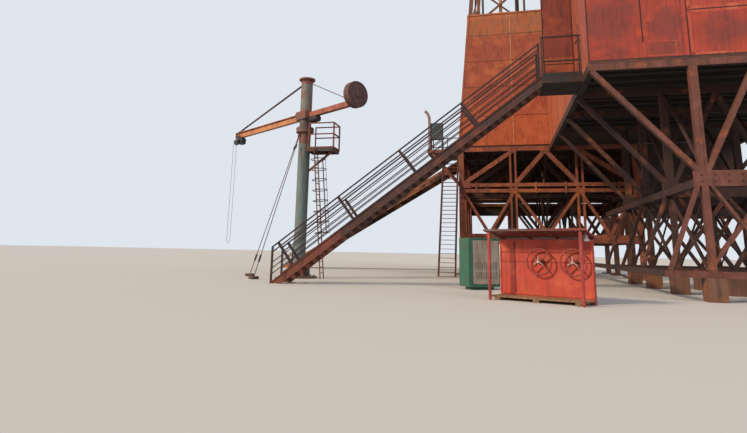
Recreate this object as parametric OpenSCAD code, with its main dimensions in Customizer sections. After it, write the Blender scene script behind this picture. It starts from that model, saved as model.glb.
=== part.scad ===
/* [Drill floor and substructure] */
// Height of the drill floor's walking surface above the ground
floor_h = 3900; // [3400:10:4400]
// Thickness of the floor plating
deck_t = 40; // [20:1:60]
// Side of the square derrick block, between the middles of its corner posts
block_w = 5000; // [4400:10:5600]
// Height of the lower box chord's underside above the ground
chord_low_h = 1000; // [700:10:1200]
// Depth of the lower box chord
chord_low_d = 225; // [150:1:300]
// Height of the middle double chord's underside
chord_mid_h = 2465; // [2200:5:2700]
// Depth over both members of the middle chord
chord_mid_d = 280; // [220:1:340]
// Depth of each member of the middle chord
chord_member_d = 105; // [70:1:108]
// Depth of the floor beams under the plating
floor_beam_d = 125; // [90:1:180]
// Width of a truss member, seen from the side
truss_bar_w = 125; // [60:1:140]
// Width of the struts below the middle chord, seen from the side
lower_bar_w = 80; // [50:1:120]
// Width of each inner double post, seen from the side
inner_post_w = 55; // [30:1:80]
// Width of the corner posts, seen from the side
corner_post_w = 150; // [110:1:200]
// Thickness of a truss across its plane
truss_t = 120; // [70:1:160]
// Spacing of the double posts inside a truss, from middle to middle
double_post_gap = 150; // [120:1:260]
// Distance of the inner double posts from the middle of the block
inner_post_x = 950; // [700:10:1200]
// Thickness of the sheets that close the substructure behind and on the right
skirt_t = 12; // [8:1:20]
// Height of the skirt sheets' lower edge under the drill floor
skirt_low_h = 2100; // [1900:10:2300]
// Height of the skirt sheet's lower edge behind the gear house
house_skirt_h = 1700; // [1500:10:2000]
// Side of the square foot plate under each pedestal
foot_w = 420; // [250:5:600]
// Thickness of the foot plates
foot_t = 40; // [20:1:60]
// Diameter of the round opening in the floor over the well
well_d = 350; // [200:5:500]
// Height of the kerb ring around the well opening
kerb_h = 30; // [15:1:60]
// Wall of the kerb ring
kerb_t = 25; // [15:1:50]

/* [Derrick] */
// Height of the derrick from the drill floor to the crown
derrick_h = 26000; // [22000:50:28000]
// Distance between the leg axes at the crown
derrick_top_w = 1050; // [900:10:1400]
// Side of a square derrick leg
leg_w = 125; // [90:1:160]
// Number of storeys in each derrick face
storeys = 12; // [8:1:14]
// Width of a girt or diagonal in a derrick face
face_bar_w = 60; // [40:1:80]
// Thickness of the derrick face bars across the face
face_t = 50; // [30:1:80]
// Height of the wind cladding on the derrick's foot, along the slope
clad_h = 4550; // [4000:10:5200]
// Thickness of the wind cladding with its stiffeners
clad_t = 24; // [12:1:40]
// Width of the pipe door in the cladding over the ramp
pipe_door_w = 1300; // [900:10:1800]
// Height of the pipe door in the cladding over the ramp
pipe_door_h = 2700; // [2000:10:2900]
// Height of the racking platform above the drill floor
rack_h = 12400; // [11000:50:14000]
// Width of the racking platform's walkways
rack_walk_w = 500; // [400:10:650]
// Reach of the crown platform beyond the leg axes
crown_out = 420; // [250:10:600]
// Thickness of the platforms on the derrick
platform_t = 60; // [40:1:100]
// Height of the guard rails on the platforms and landings
rail_h = 550; // [450:5:650]
// Width of a guard rail member
rail_w = 26; // [16:1:40]

/* [Gear house] */
// Left wall of the gear house, measured from the well
house_x = 135; // [80:5:220]
// Width of the gear house
house_w = 5000; // [4400:10:5600]
// Front wall of the gear house, measured forwards from the well
house_front = 9725; // [9600:5:9900]
// Height of the house walls above the floor
wall_h = 2600; // [2200:10:3000]
// Thickness of the sheeted walls
wall_t = 30; // [20:1:60]
// Rise of the roof ridge above the walls
roof_rise = 350; // [150:10:600]
// Thickness of the roof sheeting with its purlins
roof_t = 40; // [25:1:60]
// Reach of the roof beyond the walls
roof_out = 90; // [40:5:150]
// Width of the entrance doorway
door_w = 480; // [400:5:520]
// Height of the entrance doorway
door_h = 1010; // [900:5:1150]
// Thickness of the door leaf
door_t = 22; // [14:1:28]
// Spacing of the frames under the house
frame_pitch = 1625; // [1500:5:1650]
// Height of the base beams' underside
base_h = 350; // [300:10:600]
// Depth of the base beams
base_d = 100; // [80:1:180]
// Height of the box beam's underside
box_h = 1750; // [1600:5:1900]
// Depth of the bolted box beam
box_d = 250; // [180:1:320]
// Distance of the box posts from the house's left wall
box_post_in = 1590; // [1500:5:1800]
// Width of the box posts
box_post_w = 130; // [100:1:220]
// Distance of the base beams' ends from the house's side walls
base_in = 930; // [800:10:1050]
// Side of the square footing blocks under the house frames
footing_w = 260; // [200:5:400]
// Thickness of the house frames across their plane
frame_t = 100; // [80:1:180]

/* [Stairs and ramp] */
// Width of the main stair over its stringers
stair_w = 540; // [440:5:640]
// Horizontal run of the main stair
stair_run = 5225; // [4800:5:5600]
// Number of treads in the main stair
stair_n = 34; // [28:1:40]
// Depth of the stair stringers, square to the slope
stringer_d = 150; // [110:1:200]
// Thickness of the stair stringers
stringer_t = 36; // [24:1:50]
// Thickness of the treads
tread_t = 14; // [8:1:24]
// Number of rail posts on each side of the main stair
rail_posts = 4; // [3:1:10]
// Distance of the lowest rail post from the foot of the main stair, along the slope
first_post = 550; // [400:5:700]
// Length of the landing at the head of the stair
landing_w = 710; // [640:5:760]
// Distance of the landing's front edge behind the house's front wall
landing_in = 675; // [600:5:760]
// Depth of the landing, front to back
landing_d = 850; // [760:5:900]
// Thickness of the landing with its edge channels
landing_t = 125; // [80:1:160]
// Height of the landing's guard rail
guard_h = 790; // [700:5:900]
// Width of the screen wall behind the landing
screen_w = 600; // [500:5:640]
// Height of the screen wall behind the landing
screen_h = 2400; // [2000:10:2600]
// Horizontal run of the pipe ramp
ramp_run = 6570; // [6000:10:7000]
// Width of the pipe ramp
ramp_w = 1000; // [700:10:1200]
// Depth of the ramp's side beams, square to the slope
ramp_d = 200; // [140:1:260]
// Thickness of the ramp's side beams
ramp_side_t = 70; // [50:1:100]
// Depth of the ramp's deck between its side beams
ramp_deck_t = 30; // [20:1:50]
// Depth of the ramp's deck below the top of its side beams
ramp_deck_in = 40; // [20:1:70]

/* [Side balcony] */
// Reach of the balcony beyond the corner posts
balcony_out = 1100; // [900:10:1300]
// Length of the balcony along the derrick
balcony_l = 1500; // [1300:10:1600]
// Distance of the balcony's front edge from the middle of the block
balcony_front = 2165; // [2150:5:2300]
// Horizontal run of the steep stair below the balcony
steep_run = 1835; // [1600:5:2100]
// Number of treads in the steep stair
steep_n = 30; // [24:1:34]
// Width of the steep stair over its stringers
steep_w = 500; // [400:5:600]
// Drop of the balcony's braces at the corner posts
brace_drop = 1100; // [900:10:1300]
// Thickness of the balcony's deck with its beams
balcony_t = 100; // [70:1:130]
// Height of the balcony's guard rail
balcony_rail_h = 700; // [550:5:800]
// Height of the switch cabinet's underside above the balcony
cabinet_up = 380; // [250:5:450]
// Width and height of the balcony's switch cabinet
cabinet_w = 420; // [300:5:500]

/* [Jib crane] */
// Distance of the crane column to the left of the well
crane_x = 6070; // [5950:10:6300]
// Distance of the crane column in front of the well
crane_y = 6800; // [6700:10:7000]
// Diameter of the crane column
column_d = 290; // [220:2:340]
// Height of the middle of the boom
boom_h = 3930; // [3500:5:4400]
// Distance from the boom's middle down to the slewing joint
slew_drop = 370; // [330:5:450]
// Distance from the boom's middle up to the top of the column's cap
cap_rise = 970; // [800:10:1200]
// Reach of the boom from the column's axis
boom_l = 3500; // [3000:10:3800]
// Depth of the boom's beam
boom_d = 170; // [130:1:220]
// Width of the boom's beam
boom_w = 110; // [80:1:150]
// Thickness of the boom's flanges and web
flange_t = 16; // [12:1:22]
// Reach of the counter jib from the column's axis
counter_l = 1825; // [1500:5:2000]
// Depth and width of the counter jib's beam
counter_d = 120; // [90:2:150]
// Diameter of the round counterweight
weight_d = 600; // [500:5:760]
// Thickness of the round counterweight
weight_t = 150; // [100:5:240]
// Rise of the counterweight's middle above the boom's middle
weight_rise = 170; // [100:5:200]
// Bearing of the boom at rest, turned left from straight to the right
boom_turn = 146; // [120:1:160]
// Length of the slewing motor under the counter jib
motor_l = 300; // [200:5:360]
// Diameter of the slewing motor
motor_d = 150; // [100:2:160]
// Distance from the slewing joint down to the service platform's floor
service_drop = 460; // [420:10:700]
// Reach of the service platform from the column's axis
service_out = 840; // [700:5:900]
// Width of the service platform
service_w = 520; // [460:5:620]
// Thickness of the service platform
service_t = 40; // [25:1:60]
// Height of the service platform's guard rail
service_rail_h = 600; // [500:5:620]
// Drop of the bracket under the service platform
bracket_drop = 480; // [400:10:700]
// Width of the leaning ladder, between the middles of its stiles
ladder_w = 240; // [200:5:260]
// Distance of the ladder's foot from the column's axis
ladder_foot = 640; // [560:10:900]
// Distance of the ladder's head from the column's axis
ladder_head = 360; // [300:10:450]
// Distance of the guys' anchor blocks from the column's axis
guy_out = 1250; // [1000:10:1500]
// Diameter of the guys
guy_d = 18; // [12:1:24]
// Diameter of the boom's stay
stay_d = 26; // [16:1:32]
// Diameter of the counter jib's stay
counter_stay_d = 22; // [14:1:30]
// Side of the guys' anchor blocks
anchor_w = 160; // [100:5:220]

/* [Hand wheel shelter] */
// Middle of the shelter's panel, left of the well
shelter_x = 816; // [700:2:950]
// Middle of the shelter's panel, in front of the well
shelter_y = 10744; // [10600:4:10900]
// Turn of the shelter, clockwise seen from above
shelter_turn = 26.3; // [15:0.1:40]
// Length of the shelter's panel
panel_l = 1370; // [1300:5:1600]
// Height of the panel's top above the ground
panel_h = 870; // [820:5:960]
// Thickness of the shelter's panel
panel_t = 20; // [12:1:30]
// Height of the canopy's underside at its front edge
canopy_h = 978; // [970:2:1100]
// Fall of the canopy from its front edge to the panel
canopy_fall = 90; // [0:1:95]
// Thickness of the canopy
canopy_t = 22; // [12:1:40]
// Distance of the front posts from the panel
post_out = 394; // [340:2:500]
// Diameter of the front posts
post_d = 44; // [30:1:60]
// Height of the sill under the panel
sill_h = 60; // [40:1:80]
// Diameter of the hand wheels
wheel_d = 385; // [330:5:430]
// Diameter of the hand wheel's rim bar
wheel_rim = 24; // [16:1:32]
// Diameter of the hand wheel's shaft
shaft_d = 36; // [24:1:50]
// Distance between the two hand wheels' shafts
wheel_gap = 485; // [460:5:560]
// Distance of the wheels' middle to the right of the panel's middle
wheel_shift = 205; // [100:5:260]
// Height of the hand wheels above the ground
wheel_h = 550; // [460:5:600]
// Distance of the wheels' middle plane in front of the panel
wheel_out = 90; // [70:1:130]
// Length of the shafts behind the panel
shaft_back = 200; // [120:5:300]

/* [Control cabinet] */
// Middle of the control cabinet's front, left of the well
cab_x = 1710; // [1650:2:1850]
// Middle of the control cabinet's front, in front of the well
cab_y = 8815; // [8700:5:9000]
// Turn of the control cabinet, counterclockwise seen from above
cab_turn = 28.5; // [15:0.5:40]
// Width of the control cabinet
cab_w = 620; // [560:5:800]
// Depth of the control cabinet
cab_d = 400; // [300:5:500]
// Height of the control cabinet
cab_h = 925; // [800:5:1000]

/* [Fit] */
// Gap between pieces that are bolted or laid together
seat = 0.3; // [0.2:0.1:0.6]
// Running gap round the door leaf and the hoist trolley
run_gap = 8; // [6:0.5:10]
// Running gap at the slewing joint, shafts and hinge pins
pin_gap = 0.3; // [0.2:0.1:0.6]

/* [Hidden] */

big = 20000;
rust = "#9a5232";
red_sheet = "#b4503c";
orange_sheet = "#bd6a3c";
dark_steel = "#5a3b32";
grey_green = "#7d8a80";
boom_paint = "#d69a68";
shelter_red = "#c8452f";
concrete = "#8a7c6c";
cabinet_green = "#3f7a5c";
timber = "#9a7a58";
hoist_grey = "#3c4044";

half_w = block_w / 2;
block_out = half_w + corner_post_w / 2;
beam_top = floor_h - deck_t;
beam_low = beam_top - floor_beam_d;
lean = (block_w - derrick_top_w) / 2 / derrick_h;
lean_deg = atan(lean);
slope_h = derrick_h / cos(lean_deg);

house_right = house_x + house_w;
house_mid = house_x + house_w / 2;
house_back = half_w + truss_t / 2 + seat;
landing_front = house_front - landing_in;
stair_deg = atan(floor_h / stair_run);
stair_head = house_x - landing_w;
stair_foot = stair_head - stair_run;
ramp_deg = atan(floor_h / ramp_run);
steep_deg = atan(floor_h / steep_run);

// A straight bar in a flat drawing, from a to b
module bar(a, b, w) {
    d = b - a;
    translate(a) rotate(atan2(d[1], d[0])) translate([0, -w / 2]) square([norm(d), w]);
}

// A flat drawing stood up across the rig, its middle plane at y
module across(y, t) {
    translate([0, y + t / 2, 0]) rotate([90, 0, 0]) linear_extrude(t) children();
}

// A flat drawing stood up along the rig, its middle plane at x
module along(x, t) {
    translate([x - t / 2, 0, 0]) rotate([90, 0, 90]) linear_extrude(t) children();
}

module block(x0, x1, y0, y1, z0, z1) {
    translate([x0, y0, z0]) cube([x1 - x0, y1 - y0, z1 - z0]);
}

// The flat drawing of one side of the substructure, from end to end
module truss_drawing(half) {
    mid_low = chord_mid_h;
    mid_top = chord_mid_h + chord_mid_d;
    low_top = chord_low_h + chord_low_d;
    outer = half - corner_post_w;
    bay = (outer + inner_post_x) / 2;
    inner = inner_post_x - double_post_gap / 2;
    translate([-half, chord_low_h]) square([2 * half, chord_low_d]);
    translate([-half, mid_low]) square([2 * half, chord_member_d]);
    translate([-half, mid_top - chord_member_d]) square([2 * half, chord_member_d]);
    translate([-half, beam_low]) square([2 * half, floor_beam_d]);
    for (s = [-1, 1]) {
        bar([s * (half - corner_post_w / 2), chord_low_h], [s * (half - corner_post_w / 2), beam_top],
            corner_post_w);
        for (k = [-1, 1])
            bar([s * inner_post_x + k * double_post_gap / 2, chord_low_h],
                [s * inner_post_x + k * double_post_gap / 2, beam_top], inner_post_w);
        bar([s * inner_post_x, beam_low], [s * outer, mid_top], truss_bar_w);
        bar([s * outer, mid_low], [s * bay, low_top], lower_bar_w);
        bar([s * inner_post_x, mid_low], [s * bay, low_top], lower_bar_w);
        bar([0, beam_low], [s * inner, mid_top], truss_bar_w);
        bar([s * inner, mid_low], [0, low_top], lower_bar_w);
    }
}

module truss_across(y) {
    across(y, truss_t) intersection() {
        truss_drawing(block_out);
        translate([-block_out, chord_low_h]) square([2 * block_out, beam_top - chord_low_h]);
    }
}

module end_trusses() {
    color(rust) for (s = [-1, 1]) truss_across(s * half_w);
}

module inner_trusses() {
    color(rust) for (s = [-1, 1]) truss_across(s * inner_post_x);
}

side_half = half_w - truss_t / 2 - seat;
side_clear = truss_t / 2 + seat;

// A side truss runs from the front truss to the back one, broken where the inner ones pass
module side_trusses() {
    tall = beam_top - chord_low_h;
    color(rust) for (x = [-half_w, half_w]) along(x, truss_t) intersection() {
        truss_drawing(side_half);
        union() {
            for (s = [-1, 1])
                translate([s > 0 ? inner_post_x + side_clear : -side_half, chord_low_h])
                    square([side_half - inner_post_x - side_clear, tall]);
            translate([-inner_post_x + side_clear, chord_low_h])
                square([2 * (inner_post_x - side_clear), tall]);
        }
    }
}

skirt_top = beam_top - seat;

// Two rows of sheets, above and below the gap in the middle double chord
module skirt_rows(x0, x1, y0, y1) {
    block(x0, x1, y0, y1, skirt_low_h, chord_mid_h + chord_member_d);
    block(x0, x1, y0, y1, chord_mid_h + chord_mid_d - chord_member_d, skirt_top);
}

// Sheets close the back and the right side under the drill floor, and the back under the house
module skirt_sheets() {
    face = half_w + truss_t / 2 + seat;
    back = -house_back + seat;
    color(rust) {
        skirt_rows(-block_out, block_out, face, face + skirt_t);
        for (span = [[-side_half, -inner_post_x - side_clear], [-inner_post_x + side_clear, inner_post_x - side_clear],
            [inner_post_x + side_clear, side_half]]) skirt_rows(face, face + skirt_t, span[0], span[1]);
        block(block_out + seat, house_right, back, back + skirt_t, house_skirt_h, skirt_top);
    }
}

frame_y = [for (i = [0:3]) -house_front + frame_t / 2 + i * frame_pitch];
frame_foot = house_x + base_in;

// Short box posts on foot plates under the derrick block, and footing blocks under the house frames
module pedestals() {
    block_x = [-half_w, -inner_post_x, inner_post_x, half_w];
    color(rust) for (y = block_x, x = block_x) {
        block(x - foot_w / 2, x + foot_w / 2, y - foot_w / 2, y + foot_w / 2, 0, foot_t);
        block(x - corner_post_w / 2, x + corner_post_w / 2, y - truss_t / 2, y + truss_t / 2,
            foot_t, chord_low_h - seat);
    }
    foot_x = house_x + box_post_in;
    color(concrete) for (y = frame_y, x = [foot_x, house_mid, 2 * house_mid - foot_x])
        block(x - footing_w / 2, x + footing_w / 2, y - footing_w / 2, y + footing_w / 2, 0, base_h - seat);
}

module drill_floor() {
    color(rust) difference() {
        union() {
            block(-block_out, block_out, -half_w - truss_t / 2, half_w + truss_t / 2, beam_top, floor_h);
            translate([0, 0, beam_top]) cylinder(h = deck_t + kerb_h, d = well_d + 2 * kerb_t, $fn = 64);
        }
        translate([0, 0, beam_top - deck_t]) cylinder(h = 3 * deck_t + kerb_h, d = well_d, $fn = 64);
    }
}

// A square bar that leans with one corner of the derrick
module corner_bar(sx, sy, w, len) {
    tx = -sx * lean;
    ty = sy * lean;
    translate([sx * half_w, sy * half_w, floor_h])
        rotate([atan(ty * cos(atan(tx))), atan(tx), 0])
            translate([-w / 2, -w / 2, 0]) cube([w, w, len]);
}

leg_len = slope_h / cos(lean_deg);

module derrick_legs() {
    color(rust) difference() {
        for (sx = [-1, 1], sy = [-1, 1]) corner_bar(sx, sy, leg_w, leg_len);
        block(-big, big, -big, big, 0, floor_h + seat);
        block(-big, big, -big, big, floor_h + derrick_h, floor_h + derrick_h + big);
    }
}

// Half the width of a derrick face, at a distance up the slope
function half_at(v) = half_w - v * (half_w - derrick_top_w / 2) / slope_h;

// Storeys get shorter towards the crown, as the face narrows
ratio = pow(derrick_top_w / block_w, 1 / storeys);
function level(i) = slope_h * (1 - pow(ratio, i)) / (1 - pow(ratio, storeys));

thin_bar_w = face_bar_w * 0.7;

// The bracing of one face, from the given storey up to the crown
module face_drawing(first) {
    for (i = [max(first, 1):storeys])
        bar([-half_at(level(i)), level(i) - face_bar_w / 2], [half_at(level(i)), level(i) - face_bar_w / 2],
            face_bar_w);
    for (i = [first:storeys - 1], s = [-1, 1])
        bar([s * half_at(level(i)), level(i)], [-s * half_at(level(i + 1)), level(i + 1)], face_bar_w);
    for (i = [first:2:storeys - 1]) bar([0, level(i)], [0, level(i + 1)], thin_bar_w);
    if (first == 0) translate([-half_w, 0]) square([block_w, face_bar_w]);
}

// The bottom storey of the ramp's face: braced panels beside the open pipe door
module door_storey_drawing() {
    jamb = pipe_door_w / 2 + 2 * face_bar_w;
    top = level(1) - face_bar_w - seat;
    intersection() {
        for (s = [-1, 1]) {
            bar([s * jamb, 0], [s * jamb, top], face_bar_w);
            bar([s * half_w, face_bar_w / 2], [s * jamb, face_bar_w / 2], face_bar_w);
            bar([s * half_at(top), top - face_bar_w / 2], [s * jamb, top - face_bar_w / 2], face_bar_w);
            bar([s * half_w, 0], [s * jamb, top / 2], thin_bar_w);
            bar([s * jamb, top / 2], [s * half_at(top), top], thin_bar_w);
        }
        translate([-half_w, 0]) square([block_w, top]);
    }
}

// Each face lies between its two legs, with every bar cut to their sides
module derrick_face(turn, door) {
    edge = leg_w / 2 + 2 * seat;
    foot = face_t * lean;
    top = slope_h - face_t * lean - seat;
    color(rust) rotate([0, 0, turn]) translate([0, -half_w, floor_h + seat]) rotate([90 - lean_deg, 0, 0])
        translate([0, 0, -face_t / 2]) linear_extrude(face_t) intersection() {
            union() {
                face_drawing(door ? 1 : 0);
                if (door) door_storey_drawing();
            }
            polygon([[-half_w + edge, foot], [half_w - edge, foot],
                [half_at(slope_h) - edge, top], [-half_at(slope_h) + edge, top]]);
        }
}

module derrick_face_front() derrick_face(0, false);
module derrick_face_right() derrick_face(90, false);
module derrick_face_back() derrick_face(180, false);
module derrick_face_left() derrick_face(270, true);

clad_off = leg_w / 2 + 2 * seat;

// One leaning sheet wall round the derrick's foot, its side edges following the corners
module cladding(turn, extra, door) {
    low = clad_off * lean + clad_t * lean + seat;
    color(orange_sheet) rotate([0, 0, turn]) translate([0, -half_w, floor_h]) rotate([90 - lean_deg, 0, 0])
        translate([0, 0, clad_off]) linear_extrude(clad_t) difference() {
            polygon([[-half_at(low) - extra, low], [half_at(low) + extra, low],
                [half_at(clad_h) + extra, clad_h], [-half_at(clad_h) - extra, clad_h]]);
            if (door) translate([-pipe_door_w / 2, -1]) square([pipe_door_w, pipe_door_h]);
            if (door) translate([-half_w - extra, pipe_door_h - seat - 1]) square([block_w + 2 * extra, seat]);
        }
}

clad_wide = clad_off + clad_t;
clad_narrow = clad_off - 2 * seat;

module wind_cladding() {
    cladding(0, clad_wide, false);
    cladding(180, clad_wide, false);
    cladding(270, clad_narrow, true);
    cladding(90, clad_narrow, false);
}

// One flat guard rail standing on height z from a to b: posts, a middle rail and a top rail
module rail_panel(a, b, z, high) {
    span = norm(b - a);
    n = max(1, ceil(span / 700));
    translate([a[0], a[1], z]) rotate([90, 0, atan2(b[1] - a[1], b[0] - a[0])])
        translate([0, 0, -rail_w / 2]) linear_extrude(rail_w) {
            for (h = [high / 2, high - rail_w]) translate([0, h]) square([span, rail_w]);
            for (i = [0:n]) translate([i * (span - rail_w) / n, 0]) square([rail_w, high]);
        }
}

// Guard rails round a rectangle. The sides in skip stay open: 0 front, 1 right, 2 back, 3 left
module guard(x0, x1, y0, y1, z, high, skip = []) {
    e = rail_w / 2;
    sides = [[[x0 - e, y0], [x1 + e, y0]], [[x1, y0 + e + seat], [x1, y1 - e - seat]],
        [[x1 + e, y1], [x0 - e, y1]], [[x0, y1 - e - seat], [x0, y0 + e + seat]]];
    for (i = [0:3]) if (len(search(i, skip)) == 0) rail_panel(sides[i][0], sides[i][1], z, high);
}

rack_in = half_w - rack_h * lean + leg_w / 2 + 2 * seat;
rack_out = rack_in + rack_walk_w;
rack_z = floor_h + rack_h;

// The racking platform: four walkways round the outside of the legs
module racking_platform() {
    color(rust) {
        for (s = [-1, 1])
            block(-rack_out, rack_out, s > 0 ? rack_in : -rack_out, s > 0 ? rack_out : -rack_in, rack_z,
                rack_z + platform_t);
        for (s = [-1, 1])
            block(s > 0 ? rack_in : -rack_out, s > 0 ? rack_out : -rack_in, -rack_in + seat, rack_in - seat, rack_z,
                rack_z + platform_t);
    }
}

crown_half = derrick_top_w / 2 + crown_out;
crown_z = floor_h + derrick_h + seat;
crown_beam_y = 200;
crown_beam_w = 90;
crown_beam_h = 300;

// Two beams on the crown platform carry the sheaves
module crown_platform() {
    top = crown_z + platform_t;
    color(rust) {
        block(-crown_half, crown_half, -crown_half, crown_half, crown_z, top);
        for (y = [-crown_beam_y, crown_beam_y]) block(-derrick_top_w / 2, derrick_top_w / 2,
            y - crown_beam_w / 2, y + crown_beam_w / 2, top + seat, top + crown_beam_h);
    }
}

module derrick_rails() {
    e = rail_w / 2;
    color(rust) {
        guard(-rack_out + e, rack_out - e, -rack_out + e, rack_out - e, rack_z + platform_t + seat, rail_h);
        guard(-crown_half + e, crown_half - e, -crown_half + e, crown_half - e, crown_z + platform_t + seat, rail_h);
    }
}

strut_w = 80;
lower_leg_w = 95;
thin_strut_w = 50;
lap = 1;

// The left half of one frame under the house. The right half repeats it about the house's middle
module frame_half() {
    post = house_x + box_post_in;
    half_post = box_post_w / 2;
    top = box_h + box_d;
    base_top = base_h + base_d;
    bar([house_x + strut_w / 2, beam_low], [post - half_post, top], strut_w);
    translate([post - half_post, top - lap]) square([box_post_w, beam_top - top + lap]);
    translate([post - box_post_w, box_h]) square([house_mid - post + box_post_w + lap, box_d]);
    translate([frame_foot, base_h]) square([house_mid - frame_foot + lap, base_d]);
    translate([post - lower_leg_w / 2, base_top - lap]) square([lower_leg_w, box_h - base_top + 2 * lap]);
    bar([post - 1.5 * half_post, box_h], [frame_foot + half_post, base_top], thin_strut_w);
    bar([post + 1.5 * half_post, box_h], [house_mid, base_top], thin_strut_w);
    bar([post - half_post, base_top], [house_mid, box_h], thin_strut_w);
    bar([post + half_post, top], [house_mid, beam_low], strut_w);
    translate([house_x, beam_low]) square([house_mid - house_x + lap, floor_beam_d]);
}

module frame_drawing() {
    frame_half();
    translate([2 * house_mid, 0]) mirror([1, 0]) frame_half();
}

module house_frames() {
    color(rust) for (y = frame_y) across(y, frame_t) intersection() {
        frame_drawing();
        translate([house_x, base_h]) square([house_w, beam_top - base_h]);
    }
}

tie_w = 110;

// Beams from frame to frame: under the floor's edges, along the box beams' ends and at the base
module house_tie_beams() {
    gap = frame_t / 2 + seat;
    post = box_post_in - box_post_w;
    color(rust) for (i = [0:3]) {
        y0 = frame_y[i] + gap;
        y1 = i < 3 ? frame_y[i + 1] - gap : -house_back;
        for (tie = [[0, beam_low, beam_top], [post, box_h, box_h + box_d / 2],
            [base_in, base_h, base_h + base_d]]) {
            block(house_x + tie[0], house_x + tie[0] + tie_w, y0, y1, tie[1], tie[2]);
            block(house_right - tie[0] - tie_w, house_right - tie[0], y0, y1, tie[1], tie[2]);
        }
    }
}

module house_floor() {
    color(rust) block(house_x, house_right, -house_front, -house_back, beam_top + seat, floor_h);
}

wall_low = floor_h + seat;
wall_top = floor_h + wall_h;
clad_front_y = half_w + clad_off + clad_t + 2;
roof_deg = atan(roof_rise / (house_w / 2));

// The front wall rises to the ridge, and the right wall runs back to the derrick's cladding
module house_walls() {
    color(red_sheet) {
        across(-house_front + wall_t / 2, wall_t)
            polygon([[house_x, wall_low], [house_right, wall_low], [house_right, wall_top],
                [house_mid, wall_top + roof_rise], [house_x, wall_top]]);
        block(house_right - wall_t, house_right, -house_front + wall_t + seat, -clad_front_y, wall_low, wall_top);
    }
}

door_in = 60;
door_y0 = -landing_front + door_in;
door_y1 = door_y0 + door_w;

// The left wall stands beside and over the entrance doorway
module entrance_wall() {
    color(red_sheet) {
        block(house_x, house_x + wall_t, -house_front + wall_t + seat, door_y0, wall_low, wall_top);
        block(house_x, house_x + wall_t, door_y0 + seat, door_y1 - seat, floor_h + door_h, wall_top);
        block(house_x, house_x + wall_t, door_y1, -clad_front_y, wall_low, wall_top);
    }
}

module house_roof() {
    eave = wall_top + seat - roof_out * tan(roof_deg);
    ridge = wall_top + roof_rise + seat;
    up = roof_t / cos(roof_deg);
    color(red_sheet) across(-(house_front + roof_out + clad_front_y) / 2, house_front + roof_out - clad_front_y)
        polygon([[house_x - roof_out, eave], [house_mid, ridge], [house_right + roof_out, eave],
            [house_right + roof_out, eave + up], [house_mid, ridge + up], [house_x - roof_out, eave + up]]);
}

hinge_r = 8;
hinge_x = house_x - hinge_r - pin_gap;
hinge_y = door_y1 + hinge_r;
barrel_h = 80;
strap_h = 50;
strap_l = 160;

// The door leaf hangs on two barrels outside the wall, joined to it by straps
module entrance_door() {
    low = floor_h + run_gap;
    high = floor_h + door_h - run_gap;
    in = (barrel_h - strap_h) / 2;
    color(red_sheet) {
        block(house_x - lap, house_x - lap + door_t, door_y0 + run_gap, door_y1 - run_gap, low, high);
        for (z = [low + 1.5 * barrel_h, high - 2.5 * barrel_h]) {
            translate([hinge_x, hinge_y, z]) cylinder(h = barrel_h, r = hinge_r, $fn = 32);
            block(hinge_x - hinge_r, hinge_x, door_y1 - strap_l, hinge_y, z + in, z + in + strap_h);
            block(hinge_x - hinge_r, house_x, door_y1 - strap_l, door_y1 - 2 * run_gap, z + in, z + in + strap_h);
        }
    }
}

// A stringer's outline: the line of the nosings with a lip above it and a band below
function band(x0, x1, deg, up, down) = [
    [x0 - up / tan(deg), 0], [x1, (x1 - x0) * tan(deg) + up],
    [x1, (x1 - x0) * tan(deg) - down / cos(deg)], [x0 + down / sin(deg), 0]];

stringer_up = 12;
near_y = -landing_front + stringer_t / 2;
far_y = -landing_front + stair_w - stringer_t / 2;
stringer_flange = 14;

// The stringers are channels: a web with a flange along its top and its bottom edge
module stair_stringers() {
    head = stair_head - seat;
    down = stringer_d - stringer_up;
    color(dark_steel) for (s = [-1, 1]) {
        y = s < 0 ? near_y : far_y;
        across(y, stringer_t) {
            polygon(band(stair_foot, head, stair_deg, stringer_up, stringer_flange - stringer_up));
            polygon(band(stair_foot, head, stair_deg, stringer_flange - down, down));
        }
        across(y - s * stringer_t / 4, stringer_t / 2)
            polygon(band(stair_foot, head, stair_deg, stringer_up, down));
    }
}

module stair_treads() {
    rise = floor_h / (stair_n + 1);
    going = stair_run / (stair_n + 1);
    color(dark_steel) for (i = [1:stair_n])
        block(stair_foot + (i - 0.45) * going, stair_foot + (i + 0.45) * going,
            near_y + stringer_t / 2 + seat, far_y - stringer_t / 2 - seat, i * rise - tread_t, i * rise);
}

// The rails of one side, drawn along the slope: a double top rail, thin rails and posts
module rail_drawing(x0, x1, deg) {
    span = (x1 - x0) / cos(deg);
    overlap = rail_h * tan(deg);
    post_pitch = (span - first_post) / rail_posts;
    translate([x0, 0]) rotate(deg) translate([0, stringer_up * cos(deg) + seat]) {
        translate([0, rail_h - rail_w]) square([span + overlap, rail_w]);
        translate([0, rail_h - 4 * rail_w]) square([span + overlap, rail_w * 0.8]);
        for (k = [0.2, 0.36, 0.52]) translate([0, rail_h * k]) square([span + overlap, rail_w * 0.5]);
        for (i = [0:rail_posts - 1]) translate([first_post + i * post_pitch, 0]) square([2 * rail_w, rail_h]);
    }
}

// A strip between x0 and x1 whose ends run along the stair's slope, low and high above the nosings
function sloping_strip(x0, x1, low, high) = [
    for (p = [[x0, low], [x1, low], [x1, high], [x0, high]])
        [p[0], (p[0] - stair_foot) * tan(stair_deg) + p[1]]];

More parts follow.
